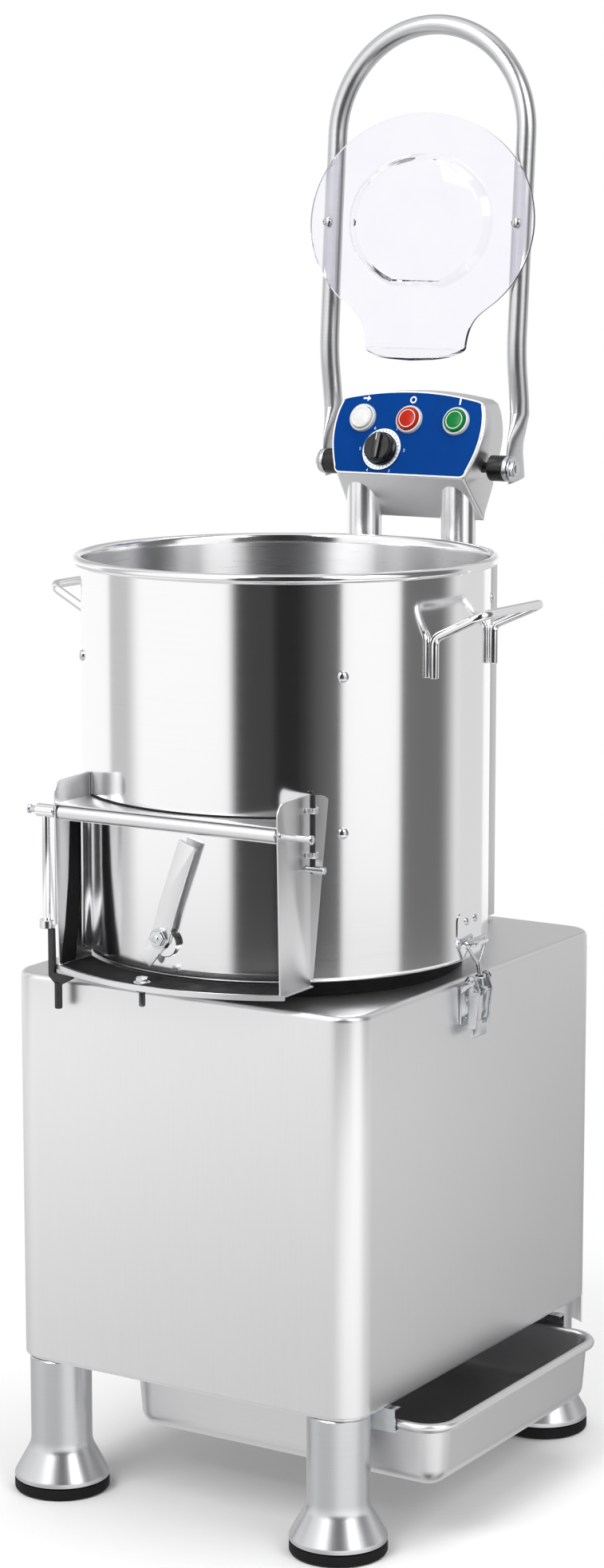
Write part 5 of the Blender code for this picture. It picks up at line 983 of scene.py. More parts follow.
# The cheek's flange on the drum, narrower towards its foot
def flangePlate(inner, outer, side):
    start = drumAngle(chute.cheek - chute.sheet, inner)
    end = drumAngle(chute.flange, inner)
    foot = chute.flangeFoot
    rings = []
    for step in range(chute.flangeSteps + 1):
        share = step / chute.flangeSteps
        climb = max(share - chute.footShare, 0) / (1 - chute.footShare)
        low = foot + (chute.top - chute.flangeDrop - foot) * climb
        azimuth = side * (start + (end - start) * share)
        high = chute.top - chute.flangeBow * share ** 6
        rings.append([onDrum(inner, azimuth, low), onDrum(outer, azimuth, low), onDrum(outer, azimuth, high),
                      onDrum(inner, azimuth, high)])
    return skin(rings)


# Black strips of painted shade, drawn as rubber: on the shelf under the door, inside the left cheek and over
# the hood, where the gaps lie dark
shadeStrips = Sizes(
    half=0.1172, wide=0.2290, narrow=0.1912, shelf=(0.00005, 0.0005), cheek=(0.1174, 0.1184),
    strip=((-0.176, 0.5198), (-0.171, 0.553), (-0.169, 0.597), (-0.165, 0.645), (-0.165, 0.656),
           (-0.180, 0.656), (-0.181, 0.645), (-0.184, 0.597), (-0.190, 0.553), (-0.198, 0.5198)),
    radius=0.1908, azimuth=37, rise=0.0022, bead=0.0009, steps=48)


def makeShadeStrips():
    wideAngle, narrowAngle = drumAngle(shadeStrips.half, shadeStrips.wide), drumAngle(shadeStrips.half, shadeStrips.narrow)
    shelf = arc((0, 0), shadeStrips.wide, wideAngle - 90, -wideAngle - 90, shadeStrips.steps)
    shelf += arc((0, 0), shadeStrips.narrow, -narrowAngle - 90, narrowAngle - 90, shadeStrips.steps)
    shapes = [slab([shelf], *[chute.shelfTop + rise for rise in shadeStrips.shelf])]
    shapes.append(mirrorX(placed(slab([shadeStrips.strip], *shadeStrips.cheek), alongX)))
    line = [onDrum(shadeStrips.radius, shadeStrips.azimuth * (2 * step / shadeStrips.steps - 1), chute.hood + shadeStrips.rise)
            for step in range(shadeStrips.steps + 1)]
    shapes.append(bar(line, shadeStrips.bead, 10, (0, 0, 1)))
    # All three strips are painted shade along dark gaps
    makePiece("chuteSeals", shapes, rubber)


def makeChute():
    against = drum.radius + gap
    sheet, top = chute.sheet, chute.top
    inner = chute.cheek - sheet
    back = math.sqrt(against ** 2 - inner ** 2)
    low = chute.shelfTop - sheet
    centre = (-chute.frontHigh + chute.round, top - chute.round)
    cheek = [(-back, top + chute.cheekRise), *arc(centre, chute.round, *chute.cheekArc, 12)]
    cheek += [(-chute.frontLow, low), (-back, low)]
    shapes = []
    for side in (-1, 1):
        plate = softened(placed(slab([cheek], inner, chute.cheek), alongX), angle=40)
        shapes.append(mirrorX(plate) if side < 0 else plate)
        shapes.append(flangePlate(against, against + sheet, side))
        x, y, level = onDrum(against + chute.fold, side * drumAngle(inner, against), 0)
        shapes.append(bar([(x, y, chute.foldLow), (x, y, top - chute.foldDrop)], chute.foldRod, 12))
    half = chute.cheek + chute.shelfWing
    outerAngle = drumAngle(half, chute.shelf)
    innerAngle = drumAngle(chute.shelfInnerHalf, chute.shelfInner)
    shelf = arc((0, 0), chute.shelf, outerAngle - 90, -outerAngle - 90, 64) + [(-half, -chute.shelfBack)]
    shelf += arc((0, 0), chute.shelfInner, -innerAngle - 90, innerAngle - 90, 32) + [(half, -chute.shelfBack)]
    hole = peg(shelfBolt.hole, shelfBolt.reach, 24, shelfBolt.place)
    shapes.append(softened(carved(slab([shelf], low, chute.shelfTop), [hole])))
    shapes.append(curvedPlate(*[chute.shelf + reach for reach in chute.lip], -outerAngle, outerAngle,
                              *[chute.shelfTop + reach for reach in chute.lipReach], chute.lipCorner, 64))
    hood = segmentOutline(inner + chute.hoodSide, against + gap, chute.frontHigh - chute.hoodFront)
    shapes.append(softened(slab([hood], chute.hood, chute.hood + sheet)))
    for height in chute.lugRows:
        lug = roundedBox(chute.cheek - chute.lugSink, *chute.lug, chute.lugCorner, 5, 0)
        hole = circle(lockPin.place, chute.lugHole, 20)
        shapes.append(softened(slab([lug, hole], height, height + chute.lugTall)))
    makePiece("chuteFrame", shapes, satin, stands="chute_frame")

    rod = placed(turned(bothEnds(hinge.head), 32), axesAt(hinge.place))
    makePiece("hingeRod", [rod], zinc, stands="hinge_rod")
    makeShadeStrips()
    print("chute made")


makeChute()


# Curved discharge door with its hinge barrel and bolt boss
door = Sizes(
    half=0.1165, away=0.0012, sheet=0.0015, steps=64, bevel=0.0004, low=0.528,
    edge=(0.5279, 0.5284, 0.5295), high=0.655, shelfBack=0.0007, shelfFront=0.198, shelf=(0.6538, 0.6565),
    shelfRound=0.0005, flange=(0.0012, -0.1685, -0.1512), flangeReach=(0.5300, 0.6535), flangeRound=0.0003,
    boss=((0.0125, 0.1905), (0.0125, 0.1978), (0.0118, 0.1985), (0.0045, 0.1985), (0.0045, 0.1905)),
    bossPlace=(-0.003, 0.552), barrel=((0.0034, 0), (0.0059, 0), (0.0065, 0.0006)))


def makeDoor():
    inner = drum.radius + door.away
    outer = inner + door.sheet
    angle = drumAngle(door.half, outer)
    near, middle, far = door.edge
    section = ((inner, door.low), (outer - door.bevel, near), (outer, middle), (outer, far),
               (outer, door.high), (inner, door.high))
    rings = []
    for step in range(door.steps + 1):
        azimuth = -angle + 2 * angle * step / door.steps
        rings.append([onDrum(radius, azimuth, height) for radius, height in section])
    top = segmentOutline(inner * math.sin(math.radians(angle)), inner + door.shelfBack, door.shelfFront)
    shapes = [skin(rings), softened(slab([top], *door.shelf), door.shelfRound)]
    thick, front, back = door.flange
    for side in (-1, 1):
        out = side * door.half
        edge = [(out, front), (out - side * thick, front), (out - side * thick, back), (out, back)]
        shapes.append(softened(slab([edge], *door.flangeReach), door.flangeRound))
    shapes.append(placed(turned(door.boss, 64, closed=True, centre=door.bossPlace), towardsFront))
    makePiece("dischargeDoor", shapes, mirror, "door", "discharge_door")
    tube = bothEnds(around(0, -door.half, door.barrel))
    barrel = placed(turned(tube, 48, closed=True), axesAt(hinge.place))
    makePiece("doorBarrel", [barrel], satin, "door")


makeDoor()


# Wedge lever: a bent strap that turns on a bolt
lever = Sizes(
    inner=0.1991, thick=0.0026, pivot=(-0.0070, 0.5570), bore=0.0043,
    line=((-0.0240, 0.5345), (-0.0070, 0.5570), (0.0010, 0.5840), (0.0232, 0.6460)),
    widths=(0.0165, 0.0180, 0.0180, 0.0180), radii=(0.0012, 0.006, 0.006, 0.0012) * 2, headRise=0.001,
    head=(0.0076, 0.0044, 0.0092), tipRise=0.0039, tip=(0.0036, 0.0016), shank=0.004, shankStart=0.1933,
    shankEnd=0.001)


def makeLever():
    outline = roundedOutline(strap(lever.line, lever.widths), lever.radii, 6)
    outer = lever.inner + lever.thick
    plate = softened(slab([outline, circle(lever.pivot, lever.bore, 24)], lever.inner, outer), angle=40)
    plate = placed(plate, towardsFront)
    makePiece("doorLever", [plate], satin, "door_lever", "door_lever")

    outer += gap
    seat = axesAt((lever.pivot[0], -outer, lever.pivot[1]), (1, 0, 0))
    seat = seat @ Matrix.Translation((0, 0, lever.headRise))
    head = placed(hexHead(*lever.head), seat)
    tip = placed(domedHead(*lever.tip), seat @ Matrix.Translation((0, 0, lever.tipRise)))
    shank = peg(lever.shank, (lever.shankStart, outer + lever.shankEnd), 32, lever.pivot)
    makePiece("leverBolt", [head, tip, placed(shank, towardsFront)], zinc, "door", "lever_bolt")

    bolt = shelfBolt
    makePiece("shelfBolt", [moved(hexHead(*bolt.head), *bolt.place, bolt.headZ)], zinc, stands="shelf_bolt")
    nut = moved(placed(hexHead(*bolt.nut), Matrix.Rotation(math.pi, 4, "X")), *bolt.place, bolt.nutZ)
    thread = list(bolt.tip)
    for index in range(bolt.turns):
        thread += [(radius, height + index * bolt.pitch) for radius, height in bolt.thread]
    # The nut under the shelf takes the darker zinc, which is painted shade
    makePiece("shelfNut", [nut, turned(thread + list(bolt.shank), 24, centre=bolt.place)], shadedZinc)
    print("door and lever made")


makeLever()


# Tie rod with its sleeve, collar and hook strap, and the lock pin beside the right cheek
tie = Sizes(
    sleeve=((0.0034, -0.142), (0.0055, -0.142), (0.006, -0.1415), (0.006, -0.123), (0.0055, -0.1225),
            (0.0034, -0.1225)),
    place=(-0.133, -0.198), rod=((0.0036, 0.555), (0.004, 0.556), (0.004, 0.659), (0.003, 0.660)),
    collar=((0.0068, 0.552), (0.0075, 0.5527), (0.0075, 0.5593), (0.0068, 0.560)),
    strip=(-0.1285, -0.1225, 0.556, 0.657), stripCorner=0.001, stripReach=(0.1965, 0.1995),
    hook=((-0.1213, 0.4985), (-0.1027, 0.5085), (-0.1247, 0.5105), (-0.1255, 0.552), (-0.1312, 0.552),
          (-0.1312, 0.5075)),
    hookRadii=(0.002, 0.001, 0.002, 0.001, 0.001, 0.003), hookReach=(0.1957, 0.2003), hookRound=0.0005,
    stem=((0.0030, 0.4780), (0.0036, 0.4788), (0.0036, 0.502)), stemPlace=(-0.1215, -0.198))


def makeTie():
    shapes = [placed(turned(tie.sleeve, 32, closed=True), axesAt(hinge.place)),
              turned(tie.rod, 24, centre=tie.place), turned(tie.collar, 32, centre=tie.place)]
    strip = slab([roundedBox(*tie.strip, tie.stripCorner, 3, 0)], *tie.stripReach)
    shapes.append(placed(softened(strip), towardsFront))
    makePiece("tieRod", shapes, mirror, "tie_rod", "tie_rod")
    hook = slab([roundedOutline(tie.hook, tie.hookRadii, 4)], *tie.hookReach)
    shapes = [placed(softened(hook, tie.hookRound), towardsFront), turned(tie.stem, 24, centre=tie.stemPlace)]
    makePiece("tieHook", shapes, blackSteel, "tie_rod")

    pin = turned(lockPin.pin, 24, centre=lockPin.place)
    makePiece("lockPin", [pin], blackSteel, "lock_pin", "lock_pin")
    cross = placed(turned(lockPin.handle, 32), axesAt((0, lockPin.place[1], lockPin.handleZ)))
    makePiece("lockPinHandle", [cross], zinc, "lock_pin")
    print("tie rod and lock pin made")


makeTie()


# Toggle latches, drawn for the right side; places across the latch are from its own middle
latch = Sizes(
    y=catches.y, wall=0.1878, pivot=(0.1985, 0.503), pivotBore=0.0023, crank=0.011, crankAngle=20,
    round=0.0003, plateHalf=0.0165, plate=(0.459, 0.498), plateCorner=0.004, plateThick=0.002, earIn=0.001,
    ear=0.005, earDrop=0.013, earArc=(-60, 120), earTop=0.4975, earY=0.0155, half=0.001, pin=0.002,
    stub=(0.0167, 0.0102), armRise=0.0045, armY=0.012, armEnd=((0.2002, 0.475), (0.1990, 0.458)),
    armWidths=(0.005, 0.009, 0.009, 0.008, 0.0075),
    armRadii=(0.002, 0.004, 0.004, 0.004, 0.0015, 0.0015, 0.004, 0.004, 0.004, 0.002), pinHalf=0.0138,
    tongue=((0.1980, 0.4490), (0.1992, 0.4487), (0.2003, 0.4500), (0.2001, 0.4640), (0.1984, 0.4640),
            (0.1984, 0.452)),
    tongueHalf=0.0128, eye=(0.0045, 0.0023), eyeHalf=0.004, eyeRound=0.0005, bar=(0.1952, 0.5398),
    barHalf=0.021, apexZ=0.519, wireLow=0.5165, wire=0.0017, wireFillet=0.0030, stemIn=0.0004,
    stemRise=0.0040, stem=0.0025, nutRise=0.009, nut=0.0048, nutHalf=0.0018, rivet=(0.0026, 0.0014),
    rivetRows=(0.4650, 0.484), rivetY=0.0065)


def makeLatches():
    sizes = latch
    pivotX, pivotZ = sizes.pivot
    y = sizes.y
    crank = math.radians(sizes.crankAngle)
    pinX = pivotX + sizes.crank * math.sin(crank)
    pinZ = pivotZ - sizes.crank * math.cos(crank)
    outer = sizes.wall + sizes.plateThick

    def across(outlines, low, high, width=sizes.round):
        return softened(frontSlab(outlines, low - y, high - y), width)

    for title, name, side in bothSides:
        def shown(shapes):
            return [mirrorX(shape) for shape in shapes] if side < 0 else shapes

        plate = roundedBox(y - sizes.plateHalf, y + sizes.plateHalf, *sizes.plate, sizes.plateCorner, 5, 0)
        base = [softened(placed(slab([plate], sizes.wall, outer), alongX))]
        earX = sizes.wall + sizes.earIn
        ear = [(earX, pivotZ - sizes.earDrop), (pivotX, pivotZ - sizes.ear)]
        ear += [*arc(sizes.pivot, sizes.ear, *sizes.earArc, 12), (earX, sizes.earTop)]
        for earSide in (-1, 1):
            face = earSide * sizes.earY
            base.append(across([ear], face - sizes.half, face + sizes.half))
            ends = sorted(earSide * reach for reach in sizes.stub)
            base.append(across([circle(sizes.pivot, sizes.pin, 20)], *ends))
        makePiece("latchBase" + title, shown(base), zinc, stands="latch_base_" + name)

        line = [(pivotX, pivotZ + sizes.armRise), sizes.pivot, (pinX, pinZ), *sizes.armEnd]
        arm = roundedOutline(strap(line, sizes.armWidths), sizes.armRadii, 4)
        lever = []
        for armSide in (-1, 1):
            face = armSide * sizes.armY
            bore = circle(sizes.pivot, sizes.pivotBore, 16)
            lever.append(across([arm, bore], face - sizes.half, face + sizes.half))
        lever.append(across([circle((pinX, pinZ), sizes.pin, 20)], -sizes.pinHalf, sizes.pinHalf))
        lever.append(across([sizes.tongue], -sizes.tongueHalf, sizes.tongueHalf))
        makePiece("latchLever" + title, shown(lever), zinc, "latch_lever_" + name, "latch_lever_" + name)

        eye = [circle((pinX, pinZ), radius, 32) for radius in sizes.eye]
        barX, barZ = sizes.bar
        apexX = pinX + (barX - pinX) * (sizes.apexZ - pinZ) / (barZ - pinZ)
        stem = [(pinX - sizes.stemIn, y, pinZ + sizes.stemRise), (apexX, y, sizes.apexZ)]
        loop = [across(eye, -sizes.eyeHalf, sizes.eyeHalf, sizes.eyeRound), bar(stem, sizes.stem, 20)]
        stemUp = (Vector(stem[1]) - Vector(stem[0])).normalized()
        seat = axesAt(Vector(stem[0]) + stemUp * sizes.nutRise, (0, 1, 0), stemUp.cross(Vector((0, 1, 0))))
        nut = slab([circle((0, 0), sizes.nut, 6)], -sizes.nutHalf, sizes.nutHalf)
        loop.append(placed(softened(nut), seat))
        foot = (apexX, y, sizes.wireLow)
        wire = [foot, (barX, y + sizes.barHalf, barZ), (barX, y - sizes.barHalf, barZ), foot]
        loop.append(bar(roundedRoute(wire, [sizes.wireFillet] * 2, 10), sizes.wire, 16))
        makePiece("latchLoop" + title, shown(loop), zinc, "latch_loop_" + name, "latch_loop_" + name)
    spots = [(side * outer, y + offset, height) for height in sizes.rivetRows for side in (-1, 1)
             for offset in (-sizes.rivetY, sizes.rivetY)]
    aims = [(math.copysign(1, x), 0, 0) for x, row, height in spots]
    repeated("latchRivets", domedHead(*sizes.rivet), spots, aims, zinc)
    print("latches made")


makeLatches()


# Columns and the guard behind the drum
columns = Sizes(
    x=0.053, y=0.230,
    profile=((0.0155, 0.5033), (0.0256, 0.5033), (0.026, 0.5037), (0.026, 0.5050), (0.0215, 0.5062),
             (0.0185, 0.5072), (0.0175, 0.5085), (0.0175, 0.5095), (0.0175, 0.955), (0.0155, 0.955)),
    half=0.079, front=0.2478, rear=0.2628, sheet=0.0015, reach=(0.5076, 0.858),
    radii=(0.0004, 0.0025, 0.0025, 0.0004, 0.0004, 0.001, 0.001, 0.0004))


def makeColumns():
    for title, name, side in bothSides:
        column = turned(columns.profile, 72, closed=True, centre=(side * columns.x, columns.y))
        makePiece("column" + title, [column], columnPolish, stands="column_" + name)
    half, front, rear, sheet = columns.half, columns.front, columns.rear, columns.sheet
    outline = [(-half, rear), (-half, front), (half, front), (half, rear), (half - sheet, rear)]
    outline += [(half - sheet, front + sheet), (-half + sheet, front + sheet), (-half + sheet, rear)]
    cover = softened(slab([roundedOutline(outline, columns.radii, 5)], *columns.reach))
    makePiece("columnCover", [cover], satin, stands="column_cover")
    print("columns made")


makeColumns()


# Control box: level slices with bulging sides, a leaning front and an arched top; tables run up by height
box = Sizes(
    low=0.901, waist=0.950, top=1.016, arch=0.008, archHalf=0.077, archLeast=0.0045, archSteps=15,
    corner=0.0035, least=0.0002, ease=0.006, foot=0.902, footInset=0.0006, panelLow=(0.206, 0.943),
    panelHigh=(0.2375, 1.024), front=((0.901, 0.240), (0.943, 0.206), (1.024, 0.2375)),
    back=((0.901, 0.240), (0.935, 0.267), (1.024, 0.264)),
    widths=((0.901, 0.076), (0.943, 0.072), (0.956, 0.0775), (0.970, 0.082), (0.985, 0.084), (1.000, 0.083),
            (1.010, 0.0805), (1.016, 0.077)),
    slices=(0.9012, 0.9016, 0.9024, 0.904, 0.910, 0.920, 0.930, 0.935, 0.9405, 0.943, 0.9455), pitch=0.003)


def between(table, value):
    for (low, first), (high, second) in zip(table, table[1:]):
        if value <= high:
            share = (value - low) / (high - low)
            return first + (second - first) * share
    return table[-1][1]


# The side outline's width at a height, with the kinks smoothed
def boxHalf(height):
    if height < box.waist:
        return between(box.widths, max(height, box.low))
    samples = [between(box.widths, min(max(height + box.ease * offset, box.low), box.top))
               for offset in (-1, -0.5, 0, 0.5, 1)]
    return sum(samples) / len(samples)


def boxRing(height, half, pinch=0.0):
    front = between(box.front, height) + pinch
    back = between(box.back, height) - pinch
    radius = max(min(box.corner, (back - front) / 2 - box.least), box.least)
    return [(x, y, height) for x, y in roundedBox(-half, half, front, back, radius, 6, 0.0)]


def makeBox():
    heights = [*box.slices, *[box.waist + box.pitch * step for step in range(22)]]
    rings = [boxRing(height, boxHalf(height) - (box.footInset if height < box.foot else 0))
             for height in heights]
    for step in range(1, box.archSteps):
        share = math.sin(math.radians(90 * step / box.archSteps))
        half = max(box.archHalf * math.sqrt(1 - share), box.archLeast)
        rings.append(boxRing(box.top + box.arch * share, half, box.least * step / box.archSteps))
    makePiece("controlBox", [skin(rings)], satin, stands="control_box")


def panelPlace():
    (lowY, lowZ), (highY, highZ) = box.panelLow, box.panelHigh
    return axesAt((0, lowY, lowZ), (1, 0, 0), (0, highY - lowY, highZ - lowZ))


# The panel's outline on the leaning front, moved in by the inset
outlineSteps = Sizes(
    side=0.003, sideCount=25, arch=0.0049, archStart=0.0735, archCount=31, corner=0.005, cornerSteps=6)


def frontOutline(inset):
    steps = outlineSteps
    low = box.panelLow[1]
    rise = box.panelHigh[1] - low
    stretch = math.hypot(rise, box.panelHigh[0] - box.panelLow[0]) / rise
    heights = [low + steps.side * step for step in range(steps.sideCount)]
    right = [(boxHalf(height), height) for height in heights]
    arch = [(x, box.top + box.arch * (1 - (x / box.archHalf) ** 2))
            for x in [steps.archStart - steps.arch * step for step in range(steps.archCount)]]
    left = [(-x, height) for x, height in right[::-1]]
    points = [(x, (height - low) * stretch) for x, height in right + arch + left]
    inside = []
    for index, point in enumerate(points):
        before = Vector(points[index - 1])
        after = Vector(points[(index + 1) % len(points)])
        along = (after - before).normalized()
        inside.append((point[0] - along.y * inset, point[1] + along.x * inset))
    return roundedCorners(inside)


# Rounds the two low corners of the panel, where the outline starts and ends
def roundedCorners(points):
    steps, radius = outlineSteps.cornerSteps, outlineSteps.corner
    first, last = Vector(points[0]), Vector(points[-1])
    up = (Vector(points[3]) - first).normalized()
    upLeft = (Vector(points[-4]) - last).normalized()
    corner = []
    for middle, start, end in ((last, upLeft, Vector((1, 0))), (first, Vector((-1, 0)), up)):
        for step in range(steps + 1):
            share = step / steps
            corner.append(tuple(middle + start * radius * (1 - share) ** 2 + end * radius * share ** 2))
    return points[2:-2] + corner


# Control panel with three buttons and a timer, all measured from the panel's seat
# A profile's steps go out from the piece's radius and up from its face or its seat
panel = Sizes(
    thick=0.002, rim=(0.0006, 0.0021), rimRise=0.0001, round=0.0002, buttonX=0.0525, shift=0.001,
    rise=0.057, hole=0.0117, holeReach=(-0.01, 0.01), bezel=0.0142,
    bezelSteps=((-0.0025, 0), (0, 0), (0, 0.0016), (-0.0006, 0.0033), (-0.0011, 0.0037), (-0.0020, 0.0037),
                (-0.0025, 0.0031)),
    cap=0.0113, capFace=0.0085, stem=0.006,
    capSteps=((0, -0.0012), (-0.0004, -0.0004), (-0.0012, 0), (-0.0019, 0), (-0.0024, -0.0007),
              (-0.0030, -0.0007), (-0.0036, -0.0002), (-0.0073, 0.0002), (-0.0109, 0.0003)),
    capLine=(0.0083, 0.0090, 0.0076, 0.0083), ink=0.00012, signRise=0.0205,
    signBar=(-0.0009, 0.0009, -0.0035, 0.0035), signRing=(0.0036, 0.00216),
    arrow=((-0.0042, -0.0009), (0.0008, -0.0009), (0.0008, -0.0030), (0.0045, 0), (0.0008, 0.0030),
           (0.0008, 0.0009), (-0.0042, 0.0009)),
    digits="123456", digit=0.0042, digitReach=0.0248, digitArc=(60, -240, 5))
timer = Sizes(
    place=(-0.0235, 0.0258), dial=0.0212, dialThick=0.0012,
    dialSteps=((-0.0167, 0), (0, 0), (0, 0.0009), (-0.0004, 0.0012), (-0.0167, 0.0012)), ticks=30,
    tick=(-0.00028, 0.00028, -0.0010, 0.0010), tickReach=0.0188, knob=0.0165, stem=(0.004, -0.006),
    knobSteps=((-0.0125, 0.0006), (-0.0004, 0.0006), (0, 0.0012), (0, 0.0028), (-0.0012, 0.0040),
               (-0.0014, 0.0080), (-0.0020, 0.0090), (-0.0032, 0.0096), (-0.0145, 0.0096)),
    grip=(0.00375, 0.0136), gripCorner=0.0024, gripReach=(0.0124, 0.0172), gripRound=0.0012,
    mark=(0.0004, 0.0055, 0.0124), markReach=(0.0171, 0.0174))


def textShape(text, size, depth):
    curve = bpy.data.curves.new("digit", "FONT")
    curve.body = text
    curve.size = size
    curve.extrude = depth / 2
    curve.align_x = "CENTER"
    curve.align_y = "CENTER"
    item = newObject("digit", curve)
    shape = bmesh.new()
    shape.from_mesh(plainMesh(item))
    bmesh.ops.remove_doubles(shape, verts=shape.verts, dist=1e-7)
    bpy.data.objects.remove(item, do_unlink=True)
    return shape


def makePanel():
    place = panelPlace()
    face = gap + panel.thick
    top = panel.rise + panel.signRise
    ring = [circle((0, 0), radius, 32) for radius in panel.signRing]

    # Plain signs over the buttons: a bar, a ring and an arrow
    buttons = (("start", panel.buttonX, greenPlastic, [boxOutline(*panel.signBar)]),
               ("stop", 0.0, redPlastic, ring), ("out", -panel.buttonX, whitePlastic, [panel.arrow]))
    outer, inner = [frontOutline(inset) for inset in panel.rim]
    holes = [slab([circle((panel.shift + offset, panel.rise), panel.hole, 48)], *panel.holeReach)
             for name, offset, material, sign in buttons]
    plate = softened(carved(slab([inner], gap, face), holes), panel.round, 1, 60)
    makePiece("panelPlate", [placed(plate, place)], blueFilm, stands="panel_plate")
    rim = softened(slab([outer, inner], gap, face + panel.rimRise), panel.round, 1, 60)
    makePiece("panelBorder", [placed(rim, place)], whiteInk)

    collar = around(panel.bezel, face, panel.bezelSteps)
    button = [(panel.cap, -panel.stem), *around(panel.cap, panel.capFace, panel.capSteps)]
    profiles = ((collar, True), (button, False), (boxOutline(*panel.capLine), True))
    ink = []
    for name, offset, material, sign in buttons:
        x = panel.shift + offset
        bezel, cap, line = [placed(turned(profile, 64, closed, (x, panel.rise)), place)
                            for profile, closed in profiles]
        makePiece(name + "Bezel", [bezel], bezelPlastic)
        makePiece(name + "Cap", [cap], material, "button_" + name, "button_" + name)
        makePiece(name + "CapLine", [line], whiteInk, "button_" + name)
        ink.append(slab([[(x + u, top + v) for u, v in outline] for outline in sign], face, face + panel.ink))
    for digit, (x, y) in zip(panel.digits, arc(timer.place, panel.digitReach, *panel.digitArc)):
        ink.append(moved(textShape(digit, panel.digit, panel.ink), x, y, face + panel.ink / 2))
    makePiece("panelSigns", [placed(shape, place) for shape in ink], whiteInk)
    makeTimer(place)
    print("panel made")


def makeTimer(place):
    x, y = timer.place
    seatLevel = gap + panel.thick + gap
    face = seatLevel + timer.dialThick
    profile = around(timer.dial, seatLevel, timer.dialSteps)
    dial = placed(turned(profile, 96, closed=True, centre=timer.place), place)
    makePiece("timerDial", [dial], dialMetal, stands="timer_dial")
    ticks = []
    for index, spot in enumerate(circle(timer.place, timer.tickReach, timer.ticks)):
        turn = math.radians(360 * index / timer.ticks)
        seat = Matrix.Translation(place @ Vector((*spot, face))) @ place.to_3x3().to_4x4()
        seat = seat @ Matrix.Rotation(turn - math.pi / 2, 4, "Z")
        ticks.append(placed(slab([boxOutline(*timer.tick)], 0, panel.ink), seat))
    makePiece("dialTicks", ticks, blackPlastic)

    wide, long = timer.grip
    outline = roundedBox(x - wide, x + wide, y - long, y + long, timer.gripCorner, 6, 0)
    grip = softened(slab([outline], *timer.gripReach), timer.gripRound, 3)
    profile = [timer.stem, *around(timer.knob, face, timer.knobSteps)]
    shapes = [placed(shape, place) for shape in (turned(profile, 72, centre=timer.place), grip)]
    makePiece("timerKnob", shapes, blackPlastic, "timer_knob", "timer_knob")
    half, low, high = timer.mark
    mark = slab([boxOutline(x - half, x + half, y + low, y + high)], *timer.markReach)
    makePiece("knobMark", [placed(mark, place)], whiteInk, "timer_knob")


makeBox()
makePanel()


# Lid frame: a bent tube, pressed flat at its ends where the pivot bolts pass
lidFrame = Sizes(
    tube=0.0095, half=0.1055, start=(0.2670, 0.940), kink=(0.248, 1.062), top=(0.272, 1.376), fillet=0.160,
    pivot=(0.2395, 0.9525), leadSteps=8, flatFrom=1.010, flatOver=0.045, flat=(0.0026, 0.0165),
    flatShift=(0.0020, 0.0125), round=0.0006, lug=0.0125, lugReach=(0.1012, 0.1058),
    bush=((0.005, 0.0725), (0.005, 0.0845), (0.0119, 0.0845), (0.0125, 0.0851), (0.0125, 0.1001),
          (0.0119, 0.1007), (0.004, 0.1007)),
    washer=(0.005, 0.0115, 0.1066, 0.1078), bolt=(0.0084, 0.0036), tip=(0.0046, 0.0012))


def leanVector():
    return Vector((0, lidFrame.top[0] - lidFrame.kink[0], lidFrame.top[1] - lidFrame.kink[1]))


def lidPlace(height):
    lean = leanVector()
    kink = lidFrame.kink
    return axesAt(Vector((0, *kink)) + lean * ((height - kink[1]) / lean.z), (1, 0, 0), lean)


def makeLidFrame():
    sizes = lidFrame
    lean = leanVector()
    unit = lean.normalized()
    kink = Vector((0, *sizes.kink))
    acrossX = Vector((sizes.half, 0, 0))
    foot = acrossX + Vector((0, *sizes.start))
    centre = kink + unit * (lean.length - sizes.half)
    bend = roundedRoute([foot, kink + acrossX, centre + acrossX], [sizes.fillet], 20)
    right = [foot.lerp(bend[1], share / sizes.leadSteps) for share in range(sizes.leadSteps)] + bend[1:]
    over = [centre + Vector((x, 0, 0)) + unit * rise for x, rise in arc((0, 0), sizes.half, 0, 180, 56)[1:-1]]
    left = [Vector((-point.x, point.y, point.z)) for point in right[::-1]]
    ovals, shifted = [], []
    for point in right + over + left:
        flat = min(max((sizes.flatFrom - point.z) / sizes.flatOver, 0), 1)
        flat = flat * flat * (3 - 2 * flat)
        ovals.append(tuple(sizes.tube + (reach - sizes.tube) * flat for reach in sizes.flat))
        inwards, forwards = sizes.flatShift
        shifted.append(point + Vector((-math.copysign(inwards, point.x) * flat, -forwards * flat, 0)))
    shapes = [softened(bar(shifted, ovals, 40, (1, 0, 0)), sizes.round, 2, 60)]
    for side in (-1, 1):
        lug = slab([circle(sizes.pivot, sizes.lug, 40)], *sorted(side * reach for reach in sizes.lugReach))
        shapes.append(softened(placed(lug, alongX), sizes.round))
    makePiece("lidFrame", shapes, tubePolish, "lid", "lid_frame")

    place = axesAt((0, *sizes.pivot))
    for title, name, side in bothSides:
        bush, washer = [[(radius, side * x) for radius, x in profile]
                        for profile in (sizes.bush, boxOutline(*sizes.washer))]
        bush = placed(turned(bush, 56), place)
        makePiece("pivotBush" + title, [bush], blackPlastic, stands="pivot_pin_" + name)
        seat = axesAt((side * sizes.washer[-1], *sizes.pivot), (0, side, 0))
        shapes = [placed(turned(washer, 56, closed=True), place), placed(hexHead(*sizes.bolt), seat),
                  placed(moved(domedHead(*sizes.tip), 0, 0, sizes.bolt[1]), seat)]
        makePiece("pivotBolt" + title, shapes, zinc)
    print("lid frame made")


makeLidFrame()


